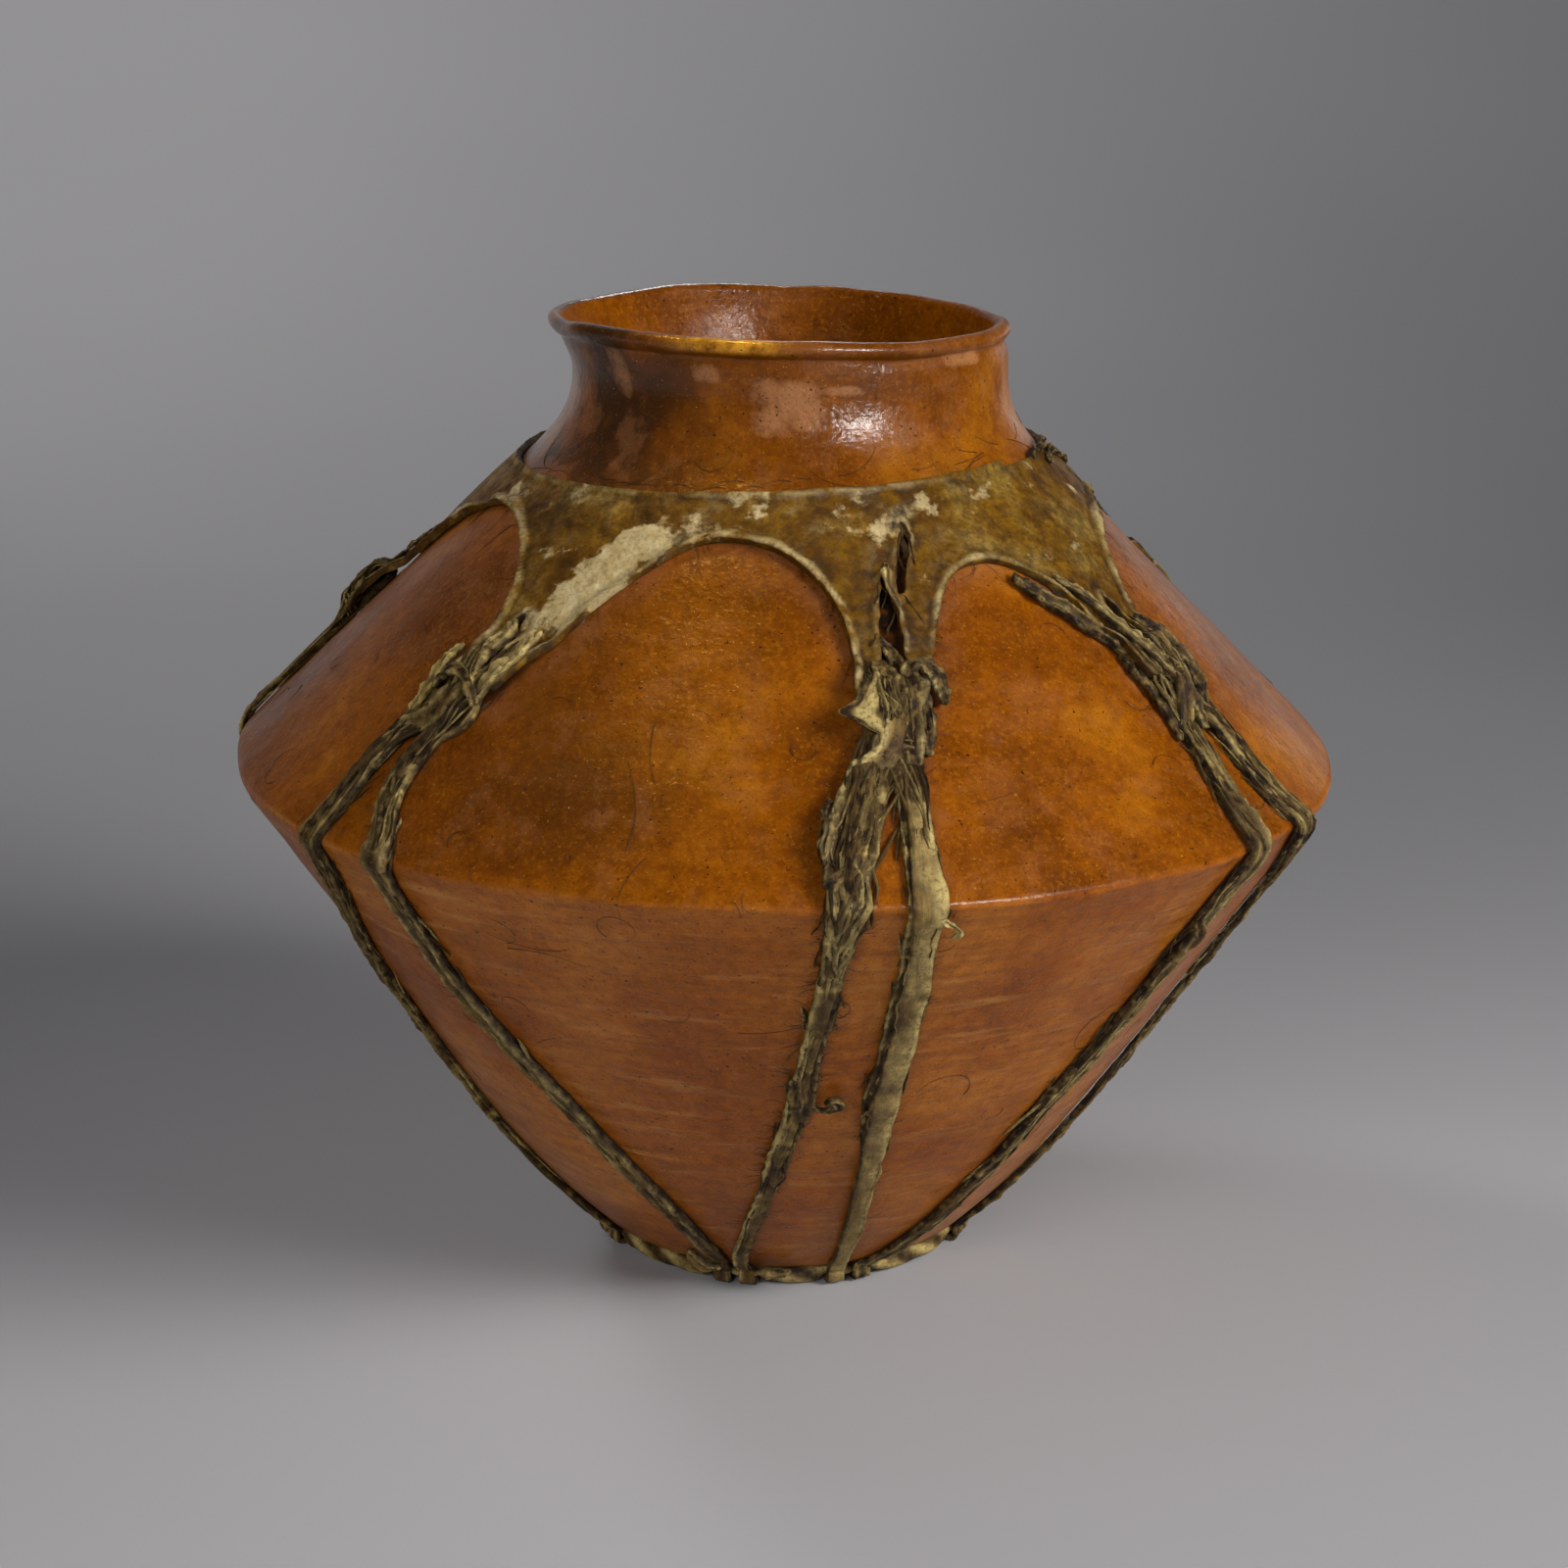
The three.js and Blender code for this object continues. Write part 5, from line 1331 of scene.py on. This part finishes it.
def topOfHide(tab, angle, height):  # how far the topmost hide stands off the clay
    length = lengthAt(height)
    distance = length - edgeLength
    over = bell(math.radians(apart(angle, tab["angle"])) * wallAt(length)[0].x, 0, 3.6, 4)
    tip, foot = tabShape["tip"], tabShape["tip"] + tabShape["bridge"]
    if distance > tip:
        bridge = 2.3 * over * (1 - smooth(distance, foot + 0.5, foot + 2.5))
        return hideLift(distance) + collarShape["thick"] + bridge
    top = mix(1.72, mix(2.4, 6.1, over), smooth(distance, tip - tabShape["meets"], tip))
    return spliceTop(top, angle, height) if tab["name"] == "front" else top


def hideFibres(tab, seed):
    pick = random.Random(seed)
    curve = newStrands(fibreShape["bevel"], 1)
    tones = []

    def lay(route, radius, pale, darkness):
        points = []
        for k, (angle, height, lift) in enumerate(route):
            share = k / (len(route) - 1)
            q = settle(onWall(lengthAt(height), angle, lift)) * mm
            ends = min(1.0, 5 * min(share, 1 - share) + 0.35)
            points.append((q, radius / fibreShape["bevel"] * ends * (1 + 0.3 * wave(k, radius * 90, 2.6))))
            tones.append((q, pale, darkness))
        addStrand(curve, points)

    def turned(height, aside):  # degrees for a length sideways at a height
        return math.degrees(aside / wallAt(lengthAt(height))[0].x)

    def down(side, low, high, radius, pale, darkness, stray=0.15):
        share, key = pick.uniform(-0.44, 0.44), pick.uniform(0, 90)
        last = max(-0.46, min(0.46, share + pick.uniform(-stray, stray)))
        count = max(5, int((high - low) / fibreShape["step"]))
        route = []
        for k in range(count + 1):
            height = mix(low, high, k / count)
            drift = mix(share, last, k / count) + 0.16 * wave(height, key, 8) + 0.08 * wave(height, key + 7, 2.6)
            angle = through(tab[side], height) + turned(height, drift * spanWidth(tab, side, height))
            edge = min(1.0, 8 * min(k / count, 1 - k / count))
            lift = topOfHide(tab, angle, height) + 0.2 * wave(height, key + 3, 5) - 0.5 * (1 - edge) + radius * 0.6
            route.append((angle, height, lift))
        lay(route, radius, pale, darkness)

    for side in ("left", "right"):
        much = fibreShare.get((tab["name"], side), 1)
        for _ in range(round(fibreShape["along"] * much)):
            low = pick.uniform(8, 126)
            pale, darkness = pick.choice(((0.9, 0.0), (0.5, 0.1), (0.2, 0.4), (0.0, 0.9)))
            down(side, low, min(146, low + pick.uniform(14, 60)), pick.uniform(0.16, 0.34), pale, darkness)
        out = darkFringeSide.get((tab["name"], side)) or pick.choice((-1, 1))
        for _ in range(round(fibreShape["fringe"] * mix(much, 1, 0.5))):
            height = pick.triangular(10, 147, 118)
            way = out if pick.random() < 0.8 else -out
            aside = way * (spanWidth(tab, side, height) / 2 + pick.uniform(-0.5, 0.3))
            run, slant = pick.choice((-1, 1)) * pick.uniform(2.5, 9), way * pick.uniform(-0.12, 0.4)
            lift, key = pick.uniform(0.35, 1.5), pick.uniform(0, 90)
            route = []
            for k in range(7):
                here = max(6.0, min(148.0, height + run * k / 6))
                off = aside + slant * abs(run) * k / 6 + 0.35 * wave(k, key, 2.2)
                route.append((through(tab[side], min(146, here)) + turned(here, off), here, mix(lift, 0.35, k / 6)))
            pale, darkness = (0.9, 0.1) if pick.random() < 0.16 else (0.0, pick.uniform(0.6, 1.0))
            lay(route, pick.uniform(0.12, 0.34), pale, darkness)
    for name, side, low, high, count in matted:
        for _ in range(count if name == tab["name"] else 0):
            start = pick.uniform(low, high - 12)
            pale, darkness = pick.choice(((0.9, 0.0), (0.5, 0.1), (0.2, 0.5), (0.0, 0.9)) if start < 116
                                      else ((0.3, 0.3), (0.0, 0.6), (0.0, 1.0), (0.0, 1.0)))
            down(side, start, min(high, start + pick.uniform(5, 20)), pick.uniform(0.22, 0.6), pale, darkness, 0.7)
    for _ in range(fibreShape["atTab"] + (fibreShape["moreInFront"] if tab["name"] == "front" else 0)):
        side = pick.choice(("left", "right"))
        high, low = pick.uniform(146.5, 156), pick.uniform(122, 140)
        start, stop = pick.uniform(-5.4, 5.4), pick.uniform(-0.45, 0.45)
        key, stack = pick.uniform(0, 90), pick.uniform(0, 0.6)
        count = int((high - low) / fibreShape["step"])
        route = []
        for k in range(count + 1):
            height = mix(high, low, k / count)
            on = tab["angle"] + turned(height, start)
            off = through(tab[side], min(146, height)) + turned(height, stop * spanWidth(tab, side, height))
            angle = mix(on, off, smooth(k / count, 0.1, 0.8)) + turned(height, 0.6 * wave(height, key, 5))
            route.append((angle, height, topOfHide(tab, angle, height) + stack * math.sin(math.pi * k / count)))
        pale, darkness = pick.choice(((0.7, 0.1), (0.2, 0.5), (0.0, 0.8), (0.0, 1.0)))
        lay(route, pick.uniform(0.14, 0.4), pale, darkness)
    for _ in range(fibreShape["ties"]):  # strands bound across both straps under the tab
        height, tilt = pick.uniform(138, 146), pick.uniform(-2.5, 2.5)
        first = through(tab["left"], height) - turned(height, 2.4)
        last = through(tab["right"], height) + turned(height, 2.4)
        route = []
        for k in range(13):
            angle = mix(first, last, k / 12)
            lift = topOfHide(tab, angle, height) * (0.35 if k in (0, 12) else 1) + 0.3
            route.append((angle, height + tilt * (k / 12 - 0.5) + 0.6 * wave(k, height, 4), lift))
        lay(route, pick.uniform(0.2, 0.45), pick.choice((0.8, 0.3, 0.0)), pick.choice((0.0, 0.5)))
    for _ in range(fibreShape["inSlit"] if tab["name"] == "front" else 0):  # frayed hide hanging into the open slit
        angle, height = pick.choice(pick.choice(frontSlits))
        run, slant, key = -pick.uniform(2, 6), pick.uniform(-0.35, 0.35), pick.uniform(0, 90)
        lift = pick.uniform(0.4, 1.7)
        route = [(angle + slant * k + 0.2 * wave(k, key, 2), height + run * k / 6, lift) for k in range(7)]
        lay(route, pick.uniform(0.15, 0.4), 0.0, pick.uniform(0.6, 1.0))

    fibres = strandMesh(curve)
    tree = treeOf([q for q, _, _ in tones])
    nearest = [tree.find(vertex.co)[1] for vertex in fibres.data.vertices]
    painted(fibres, {"ridge": [tones[k][1] for k in nearest], "grime": [tones[k][2] for k in nearest],
                     "relief": [0.7] * len(nearest)})
    if not fibres.data.uv_layers:
        fibres.data.uv_layers.new(name="UVMap")
    fibres.data.uv_layers[0].name = "UVMap"
    finished(fibres, "hide_fibres_" + tab["name"], thongFinish, smoothAngle=80)


flapShape = {  # left edge as (share down, angle, height), right edge, and thickness
    "left": [(0.0, 10.9, 152.2), (0.28, 9.4, 150.0), (0.5, 7.9, 147.8), (0.72, 5.9, 145.9), (0.82, 7.9, 144.9),
             (0.92, 8.8, 144.0), (1.0, 10.5, 142.4)],
    "right": [(0.0, 11.4, 152.4), (1.0, 11.2, 142.6)],
    "thick": 0.8, "standOff": 5.2, "wide": 7, "long": 12,
}


def tornFlap():
    nothingSelected()
    bpy.ops.mesh.primitive_grid_add(x_subdivisions=18, y_subdivisions=34, size=1)
    flap = bpy.context.object
    ridge, grime = [], []
    left = [[(mark[0], mark[j]) for mark in flapShape["left"]] for j in (1, 2)]
    for vertex in flap.data.vertices:
        u, v = vertex.co.x + 0.5, vertex.co.y + 0.5  # u runs left from the tab, v from its top down
        angle, height = (mix(mix(flapShape["right"][0][j], flapShape["right"][1][j], v), through(left[j - 1], v), u)
                         for j in (1, 2))
        angle += (0.25 * noise.noise(Vector((v * 6, 1, 4))) + 0.3 * noise.noise(Vector((v * 19, 1, 8)))) * u
        height += 0.35 * noise.noise(Vector((v * 17, u * 4, 6))) * u
        curl = smooth(u, 0.72, 1.0)
        lift = flapShape["standOff"] + 0.9 * math.sin(math.pi * min(1, u)) - 1.2 * u + 1.5 * curl
        lift += 0.6 * noise.noise(Vector((u * 3, v * 5, 2))) + 0.3 * noise.noise(Vector((u * 9, v * 12, 5)))
        vertex.co = settle(onWall(lengthAt(height), angle - 0.9 * curl * (1 - u), lift)) * mm
        ridge.append((1 - smooth(u, 0.6, 0.75)) * smooth(u, 0.1, 0.3) + 0.6 * smooth(u, 0.97, 1.0))
        grime.append(smooth(u, 0.62, 0.8) * (1 - smooth(u, 0.95, 1.0)) + 0.9 * (1 - smooth(u, 0.0, 0.3))
                     + 0.5 * max(0.0, noise.noise(Vector((u * 5, v * 7, 3))) * 2))
    painted(flap, {"ridge": ridge, "grime": grime, "relief": [0.62] * len(ridge)})
    spread(flap, lambda u, v: (u * flapShape["wide"] * mm, v * flapShape["long"] * mm))
    applied(flap, "SOLIDIFY", thickness=flapShape["thick"] * mm, offset=0)
    applied(flap, "SUBSURF", levels=1, render_levels=1)
    finished(flap, "front_torn_flap", thongFinish)


# coarse hairs that came off the hide, lying on the clay and standing off the thongs

hairShape = {"scattered": 130, "neckFoot": 34, "fuzz": 1000, "atArches": 150, "radius": 0.075, "step": 0.9}


def strayHairs(seed=11):
    pick = random.Random(seed)
    curve = newStrands(hairShape["radius"], 0)

    def grow(length, angle, heading, run, bend, bendChange, lift, rise=0.0):
        count = max(5, int(run / hairShape["step"]))
        step = run / count
        points = []
        for k in range(count + 1):
            share = k / count
            if not 6 < length < lengths[-1] - 3:
                break
            q = onWall(length, angle, lift + rise * share * (1.2 - 0.6 * share))
            points.append((settle(q) * mm, 1.0 - 0.55 * share))
            angle += math.degrees(math.cos(heading) * step / wallAt(length)[0].x)
            length += math.sin(heading) * step
            heading += (bend + bendChange * share) * step
        if len(points) >= 4:
            addStrand(curve, points)

    for _ in range(hairShape["scattered"]):
        length = pick.uniform(24, lengths[-1] - 12)
        if pick.random() < 0.75:
            length = pick.uniform(60, edgeLength + 62)
        kind = pick.random()
        if kind < 0.62:  # small curls
            run, bend = pick.uniform(4, 12), pick.uniform(0.22, 0.5)
        elif kind < 0.82:  # nearly full rings 8 to 10 mm across
            run, bend = pick.uniform(17, 27), pick.uniform(0.19, 0.26)
        else:
            run, bend = pick.uniform(10, 24), pick.uniform(0.02, 0.08)
        bend *= pick.choice((-1, 1))
        grow(length, pick.uniform(-180, 180), pick.uniform(0, tau), run, bend, -bend * pick.uniform(0, 0.7), 0.1)
    for _ in range(hairShape["neckFoot"]):
        angle = pick.uniform(-75, 75) if pick.random() < 0.7 else pick.uniform(-180, 180)
        length = edgeLength + collarTop(angle) + pick.uniform(1, 4)
        heading = pick.choice((0, math.pi)) + pick.uniform(-0.35, 0.35)
        grow(length, angle, heading, pick.uniform(4, 17), pick.choice((-1, 1)) * pick.uniform(0.0, 0.16), 0, 0.12)
    for _ in range(hairShape["fuzz"]):  # short hairs from the edges of the thongs, thickest at the splices
        tab = pick.choice(tabs)
        side = pick.choice(("left", "right"))
        if pick.random() < 0.12:
            tab, side = tabs[2], "left"
        height = pick.triangular(8, 150, 128)
        out = pick.choice((-1, 1))
        length = lengthAt(height)
        angle = beside(through(tab[side], min(height, 146)), length - edgeLength, out * 2.2)
        heading = (0 if out > 0 else math.pi) + pick.uniform(-1.1, 1.1)
        grow(length, angle, heading, pick.uniform(1.5, 5.5), pick.choice((-1, 1)) * pick.uniform(0.05, 0.5), 0,
             pick.uniform(0.3, 1.6), pick.uniform(-0.2, 0.8))
    for _ in range(hairShape["atArches"]):  # and from the arches of the collar
        angle, distance = pick.choice(archLine(pick.randrange(len(tabs))))
        grow(edgeLength + distance, angle, -math.pi / 2 + pick.uniform(-1.0, 1.0), pick.uniform(2, 9),
             pick.choice((-1, 1)) * pick.uniform(0.03, 0.35), 0, 0.5, 0.1)
    finished(strandMesh(curve), "stray_hairs", hairFinish, smoothAngle=80)


# studio: pale sweep, soft lights, camera

def paintedSweep():
    nothingSelected()
    bpy.ops.mesh.primitive_plane_add(size=1, location=(0, 0, 0))
    sweep = bpy.context.object
    sweep.scale = (12, 8.6, 1)
    sweep.location = (0, -3.65, 0)
    bpy.ops.object.transform_apply(location=True, scale=True)
    editing(sweep, "EDGE")
    bpy.ops.object.mode_set(mode="OBJECT")
    for edge in sweep.data.edges:
        edge.select = all(sweep.data.vertices[v].co.y > 0 for v in edge.vertices)
    bpy.ops.object.mode_set(mode="EDIT")
    turns = [math.radians(7.5 * (k + 0.5)) for k in range(12)]  # the back edge turns up into a wall in a wide curve
    for step in [(0, 0.16 * math.cos(turn), 0.16 * math.sin(turn)) for turn in turns] + [(0, 0, 2.5)]:
        bpy.ops.mesh.extrude_edges_move(TRANSFORM_OT_translate={"value": step})
    bpy.ops.object.mode_set(mode="OBJECT")
    sweep.name = "studio_sweep"
    bpy.ops.object.shade_smooth()
    sweep.data.materials.append(sweepPaint())


def studio():
    paintedSweep()

    # the large lights only light, and the small ones only shine in the varnish, as through crossed filters
    lights = {
        "side_key": {"place": (1.08, -0.60, 0.72), "size": (0.6, 0.6), "power": 7.4, "aim": (-0.25, -0.3, 0),
                     "spread": 95, "shines": False},
        "front_fill": {"place": (-0.5, -1.2, 0.6), "size": (0.9, 0.5), "power": 8, "aim": (0, 0, 0.1),
                       "shines": False},
        "wall_wash": {"place": (-0.75, 0.35, 1.2), "size": (0.7, 0.5), "power": 8.4, "aim": (-0.1, 1.7, 0.6),
                      "spread": 130, "shines": False},
        "neck_gleam": {"place": (0.60, -0.80, 0.46), "size": (0.2, 0.2), "power": 13, "aim": (0, 0, 0.18),
                       "lights": False},
        "lip_gleam": {"place": (-0.12, 0.03, 0.75), "size": (0.1, 0.06), "power": 0.03, "colour": "#ffc25a",
                      "aim": (-0.02, -0.04, 0.215), "spread": 16, "lights": False},
        "rim_gleam": {"place": (0.62, 1.2, 0.14), "size": (0.5, 0.3), "power": 0.5, "aim": (0.1, 0, 0.1),
                      "lights": False},
        "back_gleam": {"place": (0.1, 0.85, 0.9), "size": (0.2, 0.2), "power": 1.6, "aim": (0, 0, 0.18),
                       "lights": False},
        "back_fill": {"place": (-0.65, 0.6, 0.8), "size": (0.4, 0.4), "power": 0.19, "aim": (0, 0, 0.12),
                      "spread": 24, "shines": False},
    }
    for name, light in lights.items():
        bpy.ops.object.light_add(type="AREA", location=light["place"])
        lamp = bpy.context.object
        lamp.name = name
        lamp.data.shape = "RECTANGLE"
        lamp.data.size, lamp.data.size_y = light["size"]
        lamp.data.energy = light["power"]
        lamp.data.color = linearColour(light.get("colour", "#fffcf8"))[:3]
        lamp.data.spread = math.radians(light.get("spread", 180))
        lamp.visible_diffuse = light.get("lights", True)
        lamp.visible_glossy = light.get("shines", True)
        lamp.visible_camera = False
        lamp.rotation_euler = (Vector(light["aim"]) - Vector(light["place"])).to_track_quat("-Z", "Y").to_euler()
    world = bpy.data.worlds.new("studio")
    bpy.context.scene.world = world
    world.use_nodes = True
    world.node_tree.nodes["Background"].inputs["Color"].default_value = linearColour("#c9ccd2")
    world.node_tree.nodes["Background"].inputs["Strength"].default_value = 0.1

    view = {"place": (0, -0.668, 0.3007), "pitch": 16.226, "focal": 3060 / 1600 * 36}
    bpy.ops.object.camera_add(location=view["place"], rotation=(math.radians(90 - view["pitch"]), 0, 0))
    camera = bpy.context.object
    camera.data.lens = view["focal"]
    camera.data.sensor_width = 36
    camera.data.clip_start, camera.data.clip_end = 0.01, 50
    bpy.context.scene.camera = camera
    bpy.context.scene.view_settings.view_transform = "Standard"


# making

hideSpots = []
for tab in tabs:
    for side in ("left", "right"):
        for k in range(90):
            height = mix(6, 146, k / 89)
            hideSpots.append(onWall(lengthAt(height), through(tab[side], height), 1))
for i in range(len(tabs)):
    hideSpots += [onWall(edgeLength + distance, angle, 0.5) for angle, distance in densely(archLine(i), 2)]

shapedPot(treeOf(hideSpots))
wrappedCollar()
for number, tab in enumerate(tabs):
    name = tab["name"]
    lace = thong("lace", laceLoop(tab), 10 + 3 * number, rough=1.25, pale=litSide.get(name),
                 darkening=laceDirt.get(name, 0.34), flat=flatPart.get(name))
    finished(lace, "thong_" + name, thongFinish, "lace_" + name)
twistedRing()
for number, (name, end) in enumerate(looseEnds.items()):
    strip = thong(name, routed(end["route"]), 60 + number, step=0.7, rough=2.4, darkening=0.65 if number == 0 else 0.55)
    finished(strip, name, thongFinish, end["node"])
for number, (name, route) in enumerate(knotPieces.items()):
    strip = thong(name, routed(route), 80 + number, step=0.7, rough=2.1, darkening=knotDirt.get(name, 0.0),
                  light=knotLight.get(name, 0.0))
    finished(strip, name, thongFinish)
for number, (name, *strip) in enumerate(hideAndShadeStrips):
    tab = next(tab for tab in tabs if tab["name"] == name)
    piece = thong("under", hideAndShadeStrip(number, tab, *strip), 140 + number, step=1.0, rough=1.5, darkening=0.45)
    finished(piece, f"hide_and_shade_strip_{name}_{strip[0]}", thongFinish)
for number, tab in enumerate(tabs):
    hideFibres(tab, 200 + number)
tornFlap()
strayHairs()
studio()
nothingSelected()
